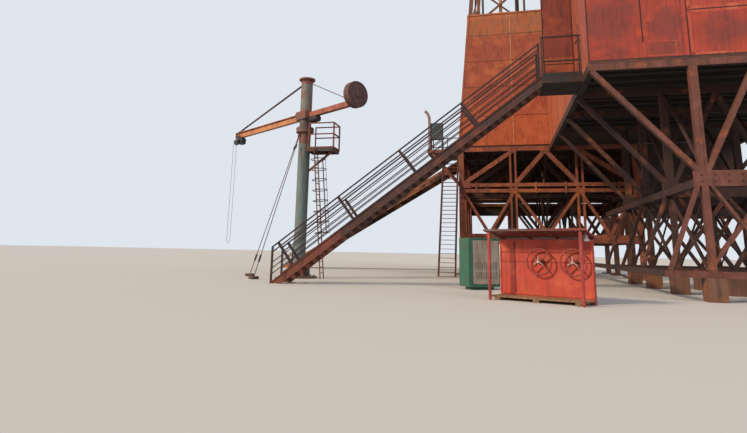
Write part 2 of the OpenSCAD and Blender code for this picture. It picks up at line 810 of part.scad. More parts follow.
// Each side's rails end in an upright at the foot and at the head
module stair_rails() {
    head = stair_head - rail_w - seat;
    low = stringer_up + rail_w / 3;
    high = stringer_up + rail_h / cos(stair_deg) - rail_w / 2;
    color(dark_steel) for (y = [near_y, far_y]) across(y, rail_w) intersection() {
        union() {
            rail_drawing(stair_foot, stair_head, stair_deg);
            polygon(sloping_strip(stair_foot - rail_w, stair_foot + 1.5 * rail_w, low, high));
            polygon(sloping_strip(head - 1.5 * rail_w, head + rail_w, low, high));
        }
        translate([stair_foot, 0]) square([head - stair_foot, 2 * floor_h]);
    }
}

// The landing's deck with its edge channels, and the open guard rail on its front edge
module landing() {
    edge = house_x - seat;
    low = floor_h + seat;
    color(dark_steel) {
        block(stair_head, edge, -landing_front, -landing_front + landing_d, floor_h - landing_t, floor_h);
        across(-landing_front + rail_w / 2, rail_w) {
            for (z = [low + guard_h - rail_w, low + guard_h * 0.36, low + rail_w])
                translate([stair_head, z]) square([edge - stair_head, rail_w]);
            for (x = [stair_head, edge - 2 * rail_w]) translate([x, low]) square([rail_w, guard_h]);
        }
    }
}

module landing_screen() {
    back = -landing_front + landing_d;
    color(red_sheet) block(house_x - screen_w, house_x - seat, back - wall_t, back,
        floor_h + seat, floor_h + screen_h);
}

module ramp() {
    head = -block_out - seat;
    color(dark_steel) {
        for (s = [-1, 1]) across(s * (ramp_w - ramp_side_t) / 2, ramp_side_t)
            polygon(band(head - ramp_run, head, ramp_deg, 0, ramp_d));
        across(0, ramp_w - ramp_side_t)
            polygon(band(head - ramp_run, head, ramp_deg, -ramp_deck_in, ramp_deck_in + ramp_deck_t));
    }
}

balcony_x0 = -half_w - balcony_out;
balcony_x1 = -block_out - seat;
balcony_y0 = -balcony_front;
balcony_y1 = balcony_y0 + balcony_l;
brace_t = 75;
module balcony() {
    low = floor_h - balcony_t;
    color(rust) {
        block(balcony_x0, balcony_x1, balcony_y0, balcony_y1, floor_h - balcony_t, floor_h);
        for (y = [balcony_y0 + brace_t, balcony_y1 - brace_t]) across(y, brace_t) intersection() {
            bar([balcony_x0 + 2 * brace_t, low], [balcony_x1 + brace_t, low - brace_drop], brace_t);
            translate([balcony_x0, low - 2 * brace_drop]) square([balcony_x1 - balcony_x0, 2 * brace_drop - seat]);
        }
    }
}

// A switch cabinet on a four-legged stand near the balcony's outer edge
module switch_cabinet() {
    x = balcony_x0 + 2.5 * rail_w;
    y = balcony_y0 + 2.5 * rail_w;
    leg = 1.5 * rail_w;
    deep = cabinet_w * 0.6;
    z = floor_h + seat;
    block(x, x + cabinet_w, y, y + deep, z + cabinet_up, z + cabinet_up + cabinet_w * 1.25);
    for (px = [x, x + cabinet_w - leg], py = [y, y + deep - leg])
        block(px, px + leg, py, py + leg, z, z + cabinet_up);
}

cab_plinth = 50;
cab_edge = 80;

// The control cabinet stands on a plinth, with a closing panel on its front
module control_cabinet() {
    translate([-cab_x, -cab_y, 0]) rotate([0, 0, cab_turn]) {
        block(-cab_w / 2 + cab_edge, cab_w / 2 - cab_edge, cab_edge, cab_d - cab_edge, 0, cab_plinth - seat);
        block(-cab_w / 2, cab_w / 2, 0, cab_d, cab_plinth, cab_h);
        block(-cab_w / 2 + cab_edge, cab_w / 2 - cab_edge / 4, -rail_w / 2, -seat, 2 * cab_plinth,
            cab_h - cab_edge / 2);
    }
}

module cabinets() {
    color(cabinet_green) {
        switch_cabinet();
        control_cabinet();
    }
}

module balcony_rails() {
    color(dark_steel) guard(balcony_x0 + rail_w, balcony_x1 - rail_w, balcony_y0 + rail_w, balcony_y1 - rail_w,
        floor_h + seat, balcony_rail_h, [0, 1]);
}

steep_x1 = balcony_x1 - stringer_t / 2;
steep_foot = balcony_y0 - seat - steep_run;
steep_tread_d = 90;
module steep_stair() {
    rise = floor_h / (steep_n + 1);
    going = steep_run / (steep_n + 1);
    color(dark_steel) {
        for (x = [steep_x1 - steep_w + stringer_t / 2, steep_x1 - stringer_t / 2]) along(x, stringer_t)
            polygon(band(steep_foot, balcony_y0 - seat, steep_deg, stringer_up, stringer_d - stringer_up));
        for (i = [1:steep_n])
            block(steep_x1 - steep_w + stringer_t + seat, steep_x1 - stringer_t - seat,
                steep_foot + i * going - steep_tread_d / 3, steep_foot + i * going + steep_tread_d * 2 / 3,
                i * rise - tread_t, i * rise);
    }
}

module at_crane() {
    translate([-crane_x, -crane_y, 0]) children();
}

slew_t = 60;
slew_h = boom_h - slew_drop;
cap_h = boom_h + cap_rise;
service_h = slew_h - service_drop;
base_t = 40;

module crane_column() {
    color(grey_green) at_crane() {
        cylinder(h = base_t, d = 3 * column_d, $fn = 48);
        cylinder(h = slew_h, d = column_d, $fn = 48);
        translate([0, 0, slew_h - slew_t]) cylinder(h = slew_t, d = column_d * 1.5, $fn = 48);
    }
}

stile_w = 28;
stile_t = 20;
rung_gap = 130;
bracket_t = 40;

// The ladder leans against the platform's underside, beside the bracket
module crane_ladder(top) {
    rise = sqrt(pow(top, 2) + pow(ladder_foot - ladder_head, 2));
    y = -(bracket_t + ladder_w + 2 * stile_w) / 2;
    tilt = atan((ladder_foot - ladder_head) / top);
    intersection() {
        translate([ladder_foot, y, 0]) rotate([0, -tilt, 0]) along(0, stile_t) {
            for (s = [-1, 1]) translate([s * ladder_w / 2 - stile_w / 2, -stile_t])
                square([stile_w, rise + 2 * stile_t]);
            for (i = [1:floor(rise / rung_gap)])
                translate([-ladder_w / 2, i * rung_gap]) square([ladder_w, stile_w / 2]);
        }
        block(ladder_head - stile_w, ladder_foot + stile_w, y - ladder_w, y + ladder_w, 0, top);
    }
}

// The service platform on its bracket, the rails round it and the ladder below it
module crane_platform() {
    r = column_d / 2 + seat;
    low = service_h - service_t;
    side = (service_w - rail_w) / 2;
    color(rust) at_crane() {
        block(r, service_out, -service_w / 2, service_w / 2, low, service_h);
        across(0, bracket_t) polygon([[r, low - bracket_drop], [r, low - bracket_drop - 2 * stile_w],
            [service_out - stile_w, low - seat], [service_out - 4 * stile_w, low - seat]]);
        guard(r + 2 * rail_w, service_out - rail_w / 2, -side, side, service_h + seat, service_rail_h, [3]);
        crane_ladder(low - seat);
    }
}

module rod(a, b, d) {
    v = b - a;
    translate(a) rotate([0, acos(v[2] / norm(v)), atan2(v[1], v[0])]) cylinder(h = norm(v), d = d, $fn = 16);
}

// Guys from lugs under the slewing joint down to anchor blocks
module crane_guys() {
    r = column_d / 2 + seat;
    lug = 40;
    lug_t = 24;
    anchor_h = 60;
    high = slew_h - slew_t - 3 * lug;
    color(dark_steel) at_crane() for (a = [120, 180, 240]) rotate([0, 0, a]) {
        block(r, r + lug, -lug_t / 2, lug_t / 2, high, high + 2 * lug);
        rod([r + 0.6 * lug, 0, high + lug], [guy_out, 0, anchor_h / 2], guy_d);
        block(guy_out - anchor_w / 2, guy_out + anchor_w / 2, -anchor_w / 2, anchor_w / 2, 0, anchor_h);
    }
}

mast_low = slew_h + pin_gap;
hub_lip = 20;
hub_x = column_d / 2 + 3 * hub_lip;
hub_y = column_d / 2 + hub_lip;

module at_jib() {
    at_crane() rotate([0, 0, boom_turn]) children();
}

// The part of the column that turns, with the boom's hub, the cap and the stays
module crane_mast() {
    boom_top = boom_h + boom_d / 2 + seat;
    counter_top = boom_h + counter_d / 2 + seat;
    lug = 40;
    color(grey_green) at_jib() {
        translate([0, 0, mast_low]) cylinder(h = slew_t, d = column_d * 1.5, $fn = 48);
        translate([0, 0, mast_low]) cylinder(h = cap_h - mast_low, d = column_d, $fn = 48);
        translate([0, 0, cap_h - lug]) cylinder(h = lug, d = column_d * 1.4, $fn = 48);
        block(-hub_x, hub_x, -hub_y, hub_y, boom_h - boom_d / 2 - hub_lip, boom_h + boom_d / 2 + hub_lip);
        rod([0, 0, cap_h - 1.5 * lug], [boom_l - 3.5 * lug, 0, boom_top + lug / 2], stay_d);
        block(boom_l - 4.5 * lug, boom_l - 2.5 * lug, -lug / 2, lug / 2, boom_top, boom_top + lug);
        rod([0, 0, cap_h - 1.5 * lug], [-counter_l + 2.5 * lug, 0, counter_top + lug / 2],
            counter_stay_d);
        block(-counter_l + 1.5 * lug, -counter_l + 3.5 * lug, -lug / 2, lug / 2, counter_top, counter_top + lug);
    }
}

module crane_boom() {
    in = boom_d / 2 - flange_t;
    color(boom_paint) at_jib() difference() {
        block(hub_x + seat, boom_l, -boom_w / 2, boom_w / 2, boom_h - boom_d / 2, boom_h + boom_d / 2);
        for (s = [-1, 1])
            block(hub_x, boom_l + 1, s > 0 ? flange_t / 2 : -boom_w, s > 0 ? boom_w : -flange_t / 2,
                boom_h - in, boom_h + in);
    }
}

module counter_jib() {
    color(boom_paint) at_jib() {
        block(-counter_l, -hub_x - seat, -counter_d / 2, counter_d / 2,
            boom_h - counter_d / 2, boom_h + counter_d / 2);
        translate([-counter_l - weight_t, 0, boom_h + weight_rise]) rotate([0, 90, 0])
            cylinder(h = weight_t, d = weight_d, $fn = 64);
    }
}

// The slewing motor hangs from a saddle under the counter jib
module slewing_motor() {
    top = boom_h - counter_d / 2 - seat;
    x = -hub_x - motor_d / 4 - motor_l;
    color(hoist_grey) at_jib() {
        translate([x, 0, top - motor_d / 2]) rotate([0, 90, 0]) cylinder(h = motor_l, d = motor_d, $fn = 32);
        block(x + motor_l * 0.2, x + motor_l * 0.8, -motor_d / 3, motor_d / 3, top - motor_d / 2, top);
    }
}

drum_l = 300;
drum_d = 120;
trolley_x = boom_l - drum_l * 2 / 3;
cheek_t = 12;
cheek_l = 160;
cheek_drop = 70;
tie_t = 20;
wheel_r = 24;
wheel_in = 8;

// The trolley hangs on four wheels on the boom's lower flange and carries the hoist's drum
module hoist_trolley() {
    low = boom_h - boom_d / 2;
    y_in = boom_w / 2 + run_gap;
    axle_z = low + flange_t + pin_gap + wheel_r;
    color(hoist_grey) at_jib() translate([trolley_x, 0, 0]) {
        for (s = [-1, 1]) {
            block(-cheek_l / 2, cheek_l / 2, s > 0 ? y_in : -y_in - cheek_t, s > 0 ? y_in + cheek_t : -y_in,
                low - cheek_drop, axle_z + wheel_r + wheel_in);
            for (x = [-1, 1]) translate([x * cheek_l / 3.2, s * (y_in + lap), axle_z]) rotate([s * 90, 0, 0])
                cylinder(h = y_in + lap - flange_t / 2 - wheel_in, r = wheel_r, $fn = 32);
        }
        block(-cheek_l / 2, cheek_l / 2, -y_in - cheek_t, y_in + cheek_t,
            low - cheek_drop, low - cheek_drop + tie_t);
        translate([-drum_l / 2, 0, low - drum_d]) rotate([0, 90, 0]) cylinder(h = drum_l, d = drum_d, $fn = 32);
    }
}

module at_shelter() {
    translate([-shelter_x, -shelter_y, 0]) rotate([0, 0, -shelter_turn]) children();
}

back_post_w = 50;
canopy_front = -post_out - post_d;

// Height of the sloping canopy's underside, at a distance behind the panel's front face
function canopy_low(y) = canopy_h - canopy_fall * (y - canopy_front) / -canopy_front;

// The sill, the front and back posts and the sloping canopy of the hand wheel shelter
module shelter_frame() {
    post_x = (panel_l - back_post_w) / 2;
    back = panel_t + back_post_w;
    canopy_back = back + back_post_w;
    color(shelter_red) at_shelter() {
        block(-panel_l / 2, panel_l / 2, 0, back, 0, sill_h);
        for (s = [-1, 1]) {
            translate([s * (panel_l - post_d) / 2, -post_out, 0])
                cylinder(h = canopy_low(-post_out + post_d / 2) - seat, d = post_d, $fn = 24);
            block(s * post_x - back_post_w / 2, s * post_x + back_post_w / 2, panel_t + seat, back,
                sill_h + seat, canopy_low(back) - seat);
        }
        along(0, panel_l + 2 * back_post_w) polygon([
            [canopy_front, canopy_h], [canopy_back, canopy_low(canopy_back)],
            [canopy_back, canopy_low(canopy_back) + canopy_t], [canopy_front, canopy_h + canopy_t]]);
    }
}

module shelter_panel() {
    color(shelter_red) at_shelter() difference() {
        block(-panel_l / 2, panel_l / 2, 0, panel_t, sill_h + seat, panel_h);
        for (s = [-1, 1]) translate([wheel_shift + s * wheel_gap / 2, panel_t / 2, wheel_h]) rotate([90, 0, 0])
            cylinder(h = 4 * panel_t, d = shaft_d + 2 * pin_gap, center = true, $fn = 48);
    }
}

board_t = 20;

// Boards on three bearers, between the panel and the front posts
module shelter_deck() {
    front = -post_out + post_d;
    back = -seat;
    boards = 4;
    pitch = (back - front) / boards;
    color(timber) at_shelter() {
        for (x = [-0.42, 0, 0.42]) block(x * panel_l - board_t * 2, x * panel_l + board_t * 2, front, back, 0,
            sill_h - board_t - seat);
        for (i = [0:boards - 1]) block(-panel_l / 2, panel_l / 2, back - (i + 0.86) * pitch, back - i * pitch,
            sill_h - board_t, sill_h);
    }
}

hub_t = 50;
spoke_w = 18;

// A spoked hand wheel on a shaft that passes through the panel
module hand_wheel(s) {
    r = wheel_d / 2 - wheel_rim / 2;
    color(shelter_red) at_shelter() translate([wheel_shift + s * wheel_gap / 2, -wheel_out, wheel_h])
        rotate([-90, 0, 0]) {
            rotate_extrude($fn = 64) translate([r, 0]) circle(d = wheel_rim, $fn = 24);
            translate([0, 0, -hub_t / 2]) cylinder(h = hub_t, d = 2 * shaft_d, $fn = 32);
            for (a = [45:90:315]) rotate([0, 0, a]) translate([0, -spoke_w / 2, -spoke_w / 2])
                cube([r, spoke_w, spoke_w]);
            translate([0, 0, hub_t / 2]) cylinder(h = wheel_out - hub_t / 2 + shaft_back, d = shaft_d, $fn = 32);
        }
}

module hand_wheel_left() hand_wheel(-1);
module hand_wheel_right() hand_wheel(1);

pedestals();
end_trusses();
inner_trusses();
side_trusses();
skirt_sheets();
drill_floor();
derrick_legs();
derrick_face_front();
derrick_face_back();
derrick_face_left();
derrick_face_right();
wind_cladding();
racking_platform();
crown_platform();
derrick_rails();
house_frames();
house_tie_beams();
house_floor();
house_walls();
entrance_wall();
house_roof();
entrance_door();
stair_stringers();
stair_treads();
stair_rails();
landing();
landing_screen();
ramp();
balcony();
balcony_rails();
steep_stair();
cabinets();
crane_column();
crane_platform();
crane_guys();
crane_mast();
crane_boom();
counter_jib();
slewing_motor();
hoist_trolley();
shelter_frame();
shelter_panel();
shelter_deck();
hand_wheel_left();
hand_wheel_right();
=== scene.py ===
import math

import bpy
from mathutils import Matrix, Vector


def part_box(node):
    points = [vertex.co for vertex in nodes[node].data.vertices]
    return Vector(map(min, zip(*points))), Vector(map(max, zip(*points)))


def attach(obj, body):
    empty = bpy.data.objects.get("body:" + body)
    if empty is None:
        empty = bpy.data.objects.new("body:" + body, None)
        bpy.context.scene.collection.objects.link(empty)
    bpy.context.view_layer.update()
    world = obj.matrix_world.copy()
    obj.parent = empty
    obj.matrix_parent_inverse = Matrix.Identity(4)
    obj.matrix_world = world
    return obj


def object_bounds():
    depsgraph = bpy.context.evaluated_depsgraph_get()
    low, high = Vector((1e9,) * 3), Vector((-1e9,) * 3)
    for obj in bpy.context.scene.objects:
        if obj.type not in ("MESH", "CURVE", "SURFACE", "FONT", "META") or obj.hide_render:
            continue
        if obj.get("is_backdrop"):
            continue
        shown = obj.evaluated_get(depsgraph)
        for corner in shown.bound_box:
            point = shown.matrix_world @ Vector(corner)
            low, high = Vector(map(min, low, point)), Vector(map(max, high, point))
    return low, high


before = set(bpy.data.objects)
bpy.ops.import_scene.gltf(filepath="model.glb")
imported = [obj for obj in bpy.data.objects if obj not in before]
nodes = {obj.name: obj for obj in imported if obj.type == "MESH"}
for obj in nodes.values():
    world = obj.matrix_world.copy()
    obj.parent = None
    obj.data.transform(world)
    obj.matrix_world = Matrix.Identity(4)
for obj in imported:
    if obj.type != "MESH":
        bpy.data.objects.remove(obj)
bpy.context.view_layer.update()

# The viewpoint: a camera at eye height, at half scale as the rig is, looking up past the main stair
# to the gear house. The lens and shift give the photograph's frame, 747 by 433.
EYE = (-1.46, -18.85, 0.655)
HEADING, PITCH, ROLL = math.radians(13.3), math.radians(11.4), 0.02
SENSOR_WIDTH, FRAME_PIXELS, FOCAL_PIXELS = 36, 747, 525
camera_data = bpy.data.cameras.new("view_camera")
camera = bpy.data.objects.new("view_camera", camera_data)
bpy.context.scene.collection.objects.link(camera)
camera_data.sensor_width = SENSOR_WIDTH
camera_data.lens = FOCAL_PIXELS / FRAME_PIXELS * SENSOR_WIDTH
camera_data.shift_y = -0.0957
camera_data.clip_end = 400
camera.matrix_world = (
    Matrix.Translation(EYE)
    @ Matrix.Rotation(HEADING, 4, "Z")
    @ Matrix.Rotation(math.radians(90) + PITCH, 4, "X")
    @ Matrix.Rotation(ROLL, 4, "Z")
)
bpy.context.scene.camera = camera
bpy.context.scene.view_settings.view_transform = "Standard"


def linear(hex_colour):
    """An sRGB hex colour as linear red, green, blue and alpha."""
    channels = [int(hex_colour[i : i + 2], 16) / 255 for i in (1, 3, 5)]
    return [c / 12.92 if c <= 0.04045 else ((c + 0.055) / 1.055) ** 2.4 for c in channels] + [1.0]


def add(tree, kind, settings=None, links=None):
    """Adds one shader node, with its properties or inputs set and its inputs linked."""
    node = tree.nodes.new(kind)
    for key, value in (settings or {}).items():
        if key == "stops":
            ramp = node.color_ramp
            while len(ramp.elements) < len(value):
                ramp.elements.new(0.5)
            for element, (position, colour) in zip(ramp.elements, value):
                element.position = position
                element.color = colour
        elif isinstance(key, str) and hasattr(node, key):
            setattr(node, key, value)
        else:
            node.inputs[key].default_value = value
    for key, (source, output) in (links or {}).items():
        tree.links.new(source.outputs[output], node.inputs[key])
    return node


def new_material(name):
    """An empty node material, ready for its shader."""
    material = bpy.data.materials.new(name)
    material.use_nodes = True
    material.node_tree.nodes.clear()
    return material, material.node_tree


# The studio: a plain pale floor and backdrop, a broad soft key from the left, where the low sun
# stands in the photograph, and a weaker fill from the right.
FLOOR_COLOUR = "#d5d2cd"
bpy.ops.object.select_all(action="DESELECT")
bpy.ops.mesh.primitive_plane_add(size=400, location=(0, 0, -0.002))
floor = bpy.context.object
floor.name = "studio_floor"
floor_material, tree = new_material("matt_pale_floor")
diffuse = add(tree, "ShaderNodeBsdfDiffuse", {"Color": linear(FLOOR_COLOUR)})
add(tree, "ShaderNodeOutputMaterial", links={"Surface": (diffuse, 0)})
floor.data.materials.append(floor_material)
floor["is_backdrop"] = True

world = bpy.data.worlds.new("studio_world")
world.use_nodes = True
bpy.context.scene.world = world
tree = world.node_tree
tree.nodes.clear()
path = add(tree, "ShaderNodeLightPath")
seen = add(tree, "ShaderNodeMath", {"operation": "MAXIMUM"},
           {0: (path, "Is Camera Ray"), 1: (path, "Is Glossy Ray")})
ambient = add(tree, "ShaderNodeBackground", {"Color": linear("#eef2f8"), "Strength": 0.5})
backdrop = add(tree, "ShaderNodeBackground", {"Color": linear("#e4ebf3"), "Strength": 0.95})
shown = add(tree, "ShaderNodeMixShader", links={0: (seen, 0), 1: (ambient, 0), 2: (backdrop, 0)})
add(tree, "ShaderNodeOutputWorld", links={"Surface": (shown, 0)})

for lamp_name, strength, colour, tilt, turn, spread in (
    ("key_lamp", 2.6, "#ffe8cc", 60, -50, 10),
    ("fill_lamp", 0.55, "#e8eeff", 55, 48, 30),
):
    lamp_data = bpy.data.lights.new(lamp_name, "SUN")
    lamp_data.energy = strength
    lamp_data.color = linear(colour)[:3]
    lamp_data.angle = math.radians(spread)
    lamp = bpy.data.objects.new(lamp_name, lamp_data)
    lamp.rotation_euler = (math.radians(tilt), 0, math.radians(turn))
    bpy.context.scene.collection.objects.link(lamp)

# The substructure: four lattice trusses across and two along, welded from rolled sections on box
# feet. The steel lost its red-brown paint long ago and rain has drawn dark runs down it. Its
# undersides, inner trusses, floor and skirts are near black, which is painted shade.
X_AXIS, Y_AXIS, Z_AXIS = (1, 0, 0), (0, 1, 0), (0, 0, 1)
RUST, RUST_WORN, RUST_STAIN, RUST_BLOOM = "#8a4a33", "#66382a", "#3a231d", "#a85d38"


def weathered(name, coat, worn, stain, rust, run=0.09, patch=0.55, worn_at=0.5, rust_at=0.6,
              roughness=0.72, relief=0.003, grain=0.012, under=0.6, sheet=None, tone=0.25, bands=(),
              soft=0.1, clouds=()):
    """Steel left outdoors: a coat with faded patches, dark runs down its faces and rust blooms, and
    painted shade on the faces that look down.

    run and patch are the width of the runs and patches in metres. worn_at and rust_at say how much
    of the coat is still there, soft how far a patch fades at its edge, and under how far painted
    shade darkens the faces that look down. sheet is the width and height of the sheets, which differ by
    tone. bands are parts of the steel with another colour: a direction, a low and a high place
    along it, the colour and how ragged its ends are. clouds are round worn places, each a middle
    and its reach along the three axes."""
    material, tree = new_material(name)
    white, black, pale = (1, 1, 1, 1), (0, 0, 0, 1), (0.8, 0.8, 0.8, 1)
    place = add(tree, "ShaderNodeTexCoord")

    def noise(scale, detail, rough, source, output):
        settings = {"Scale": scale, "Detail": detail, "Roughness": rough}
        return add(tree, "ShaderNodeTexNoise", settings, {"Vector": (source, output)})

    def ramp(low, high, top, source):
        return add(tree, "ShaderNodeValToRGB", {"stops": [(low, black), (high, top)]}, {"Fac": (source, 0)})

    def times_plus(source, factor, other, output=0):
        return add(tree, "ShaderNodeMath", {"operation": "MULTIPLY_ADD", 1: factor},
                   {0: (source, 0), 2: (other, output)})

    def tinted(colour, tint, share):
        return add(tree, "ShaderNodeMix", {"data_type": "RGBA", 7: linear(tint)},
                   {0: (share, 0), 6: (colour, 2)})

    def mapped(settings):
        return add(tree, "ShaderNodeMapping", settings, {"Vector": (place, "Object")})

    runs = noise(1.0, 5.0, 0.62, mapped({"Scale": (1 / run, 1 / run, 0.09 / run)}), 0)
    patches = noise(1 / patch, 7.0, 0.66, place, "Object")
    specks = noise(1 / grain, 3.0, 0.6, place, "Object")
    worn_share = ramp(worn_at - soft, worn_at + soft, white, patches)
    run_share = ramp(0.47, 0.7, pale, runs)
    rust_share = ramp(rust_at + 0.1, rust_at + 0.26, white, times_plus(specks, 0.45, patches))
    colour = add(tree, "ShaderNodeMix", {"data_type": "RGBA", 6: linear(coat), 7: linear(worn)},
                 {0: (worn_share, 0)})
    for middle, reach in clouds:
        scale = tuple(1 / r for r in reach)
        spot = mapped({"Location": tuple(-m * k for m, k in zip(middle, scale)), "Scale": scale})
        away = add(tree, "ShaderNodeVectorMath", {"operation": "LENGTH"}, {0: (spot, 0)})
        streaky = times_plus(runs, 1.7, times_plus(patches, 3.4, away, "Value"))
        share = add(tree, "ShaderNodeMapRange", {1: 3.2, 2: 3.75, 3: 0.8, 4: 0.0}, {0: (streaky, 0)})
        colour = tinted(colour, worn, share)
    for axis, low, high, other, ragged in bands:
        along = add(tree, "ShaderNodeVectorMath", {"operation": "DOT_PRODUCT", 1: axis},
                    {0: (place, "Object")})
        edge = times_plus(patches, ragged, along, "Value")
        middle, reach = (low + high + ragged) / 2, (high - low) / 2
        within = add(tree, "ShaderNodeMath", {"operation": "COMPARE", 1: middle, 2: reach}, {0: (edge, 0)})
        colour = tinted(colour, other, within)
    colour = tinted(tinted(colour, stain, run_share), rust, rust_share)
    if sheet:
        wide, tall = sheet
        cells = mapped({"Location": (0.5, 0.5, 0.13), "Scale": (1 / wide, 1 / wide, 1 / tall)})
        cell = add(tree, "ShaderNodeVectorMath", {"operation": "FLOOR"}, {0: (cells, 0)})
        shade = add(tree, "ShaderNodeTexWhiteNoise", {"noise_dimensions": "3D"}, {"Vector": (cell, 0)})
        share = add(tree, "ShaderNodeMath", {"operation": "MULTIPLY", 1: tone}, {0: (shade, 0)})
        colour = tinted(colour, stain, share)
    # Faces that look down are darkened towards near black by the under share: painted shade
    facing = add(tree, "ShaderNodeNewGeometry")
    upward = add(tree, "ShaderNodeSeparateXYZ", links={0: (facing, "Normal")})
    under_shade_share = add(tree, "ShaderNodeMapRange", {1: -0.2, 2: -0.9, 3: 0.0, 4: under}, {0: (upward, 2)})
    colour_with_under_shade = tinted(colour, "#1d1613", under_shade_share)
    height = add(tree, "ShaderNodeMath", {"operation": "ADD"}, {0: (specks, 0), 1: (patches, 0)})
    bump = add(tree, "ShaderNodeBump", {"Strength": 0.5, "Distance": relief}, {"Height": (height, 0)})
    polished, dull = roughness - 0.12, min(roughness + 0.15, 1.0)
    finish = add(tree, "ShaderNodeMapRange", {1: 0.3, 2: 0.7, 3: polished, 4: dull}, {0: (patches, 0)})
    shader = add(tree, "ShaderNodeBsdfPrincipled", {"Metallic": 0.0},
                 {"Base Color": (colour_with_under_shade, 2), "Roughness": (finish, 0), "Normal": (bump, 0)})
    add(tree, "ShaderNodeOutputMaterial", links={"Surface": (shader, 0)})
    return material


def dress(material, *names):
    """Gives CAD nodes one material."""
    for name in names:
        nodes[name].data.materials.clear()
        nodes[name].data.materials.append(material)


structure_steel = weathered(
    "rusted_structural_steel", RUST, RUST_WORN, RUST_STAIN, RUST_BLOOM, run=0.06, patch=0.4)
# Near-black steel for the inner trusses, floor, bracing, joists and guide posts, and near-black skirt
# sheets: painted shade inside the substructure
shade_dark_steel = weathered(
    "near_black_painted_shade_steel", "#4b3027", "#392620", "#1f1715", "#65402d", run=0.05, patch=0.35, under=0.85)
shade_dark_sheet = weathered(
    "near_black_painted_shade_skirt_sheet", "#35271f", "#2a1f1a", "#191412", "#5b3826", run=0.08, patch=0.5, under=0.85,
    sheet=(0.9, 2.4))
dress(structure_steel, "end_trusses", "side_trusses")
dress(shade_dark_steel, "inner_trusses", "drill_floor")
dress(shade_dark_sheet, "skirt_sheets")
dress(weathered(
    "rusted_feet_and_footings", "#765341", "#624438", "#40302a", "#8c5839", run=0.06, patch=0.3),
    "pedestals")

templates = []      # pieces that are only copied, and taken out at the end


def unit_piece(kind, at=(0, 0, 0), size=None, radius=None, depth=1, bar=None, sides=12):
    """Adds a primitive with its place and sizes applied, ready to be shaped or copied."""
    bpy.ops.object.select_all(action="DESELECT")
    if kind == "box":
        bpy.ops.mesh.primitive_cube_add(size=1, location=at, scale=size)
    elif kind == "tube":
        bpy.ops.mesh.primitive_cylinder_add(vertices=sides, radius=radius, depth=depth, location=at)
    elif kind == "ring":
        bpy.ops.mesh.primitive_torus_add(major_radius=radius, minor_radius=bar, location=at,
                                         major_segments=sides, minor_segments=6)
    bpy.ops.object.transform_apply(location=True, rotation=True, scale=True)
    templates.append(bpy.context.object)
    return bpy.context.object


def bevel(piece, width, segments=1):
    """Bevels all edges of a piece in edit mode."""
    bpy.ops.object.select_all(action="DESELECT")
    piece.select_set(True)
    bpy.context.view_layer.objects.active = piece
    bpy.ops.object.mode_set(mode="EDIT")
    bpy.ops.mesh.select_all(action="SELECT")
    bpy.ops.mesh.bevel(offset=width, segments=segments, affect="EDGES")
    bpy.ops.object.mode_set(mode="OBJECT")
    return piece


def open_faces(piece, chosen):
    """Opens a piece in edit mode with only the faces selected whose normal is chosen."""
    bpy.ops.object.mode_set(mode="EDIT")
    bpy.ops.mesh.select_all(action="DESELECT")
    bpy.ops.object.mode_set(mode="OBJECT")
    for face in piece.data.polygons:
        face.select = chosen(face.normal)
    bpy.ops.object.mode_set(mode="EDIT")


def pipe_template(radius, sides=10):
    """A one-metre pipe up Z with open ends, to be laid between two points."""
    pipe = unit_piece("tube", at=(0, 0, 0.5), radius=radius, sides=sides)
    open_faces(pipe, lambda normal: abs(normal.z) > 0.9)
    bpy.ops.mesh.inset(thickness=radius * 0.3)
    bpy.ops.mesh.extrude_region_shrink_fatten(TRANSFORM_OT_shrink_fatten={"value": -0.02})
    bpy.ops.object.mode_set(mode="OBJECT")
    return pipe


def bar_template(wide, deep, edge=0.004):
    """A one-metre bar up Z, with softened long edges, to be laid between two points."""
    return bevel(unit_piece("box", at=(0, 0, 0.5), size=(wide, deep, 1)), edge)


def laid(start, end, facing=(0, -1, 0)):
    """The matrix that lays a one-metre piece, modelled up Z, from start to end."""
    start, end, facing = Vector(start), Vector(end), Vector(facing)
    up = end - start
    y = (facing - facing.project(up)).normalized()
    x = y.cross(up.normalized())
    matrix = Matrix((x, y, up)).transposed().to_4x4()
    matrix.translation = start
    return matrix


def assemble(name, body, material, placed):
    """Joins copies of pieces, each with its own place, into one piece that rides on a body."""
    bpy.ops.object.select_all(action="DESELECT")
    for template, matrix in placed:
        copy = template.copy()
        copy.data = template.data.copy()
        copy.data.transform(matrix)
        if matrix.determinant() < 0:
            copy.data.flip_normals()
        bpy.context.scene.collection.objects.link(copy)
        copy.select_set(True)
    bpy.context.view_layer.objects.active = copy
    bpy.ops.object.join()
    piece = bpy.context.object
    piece.name = piece.data.name = name
    piece.data.materials.clear()
    piece.data.materials.append(material)
    bpy.ops.object.select_all(action="DESELECT")
    piece.select_set(True)
    bpy.ops.object.shade_smooth_by_angle(angle=math.radians(35))
    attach(piece, body)
    return piece


def shift(x, y, z):
    return Matrix.Translation((x, y, z))


def turned(degrees, axis="Z"):
    return Matrix.Rotation(math.radians(degrees), 4, axis)


block_low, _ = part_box("end_trusses")
HALF = -block_low.x - 0.075      # from the well to the middle of a corner post
INNER = 0.95                     # from the well to an inner truss
TRUSS_HALF = 0.06
CHORD_LOW_TOP = block_low.z + 0.225
CHORD_MID, CHORD_MID_TOP = 2.465, 2.745
BEAM_LOW, FLOOR_TOP = 3.735, 3.9

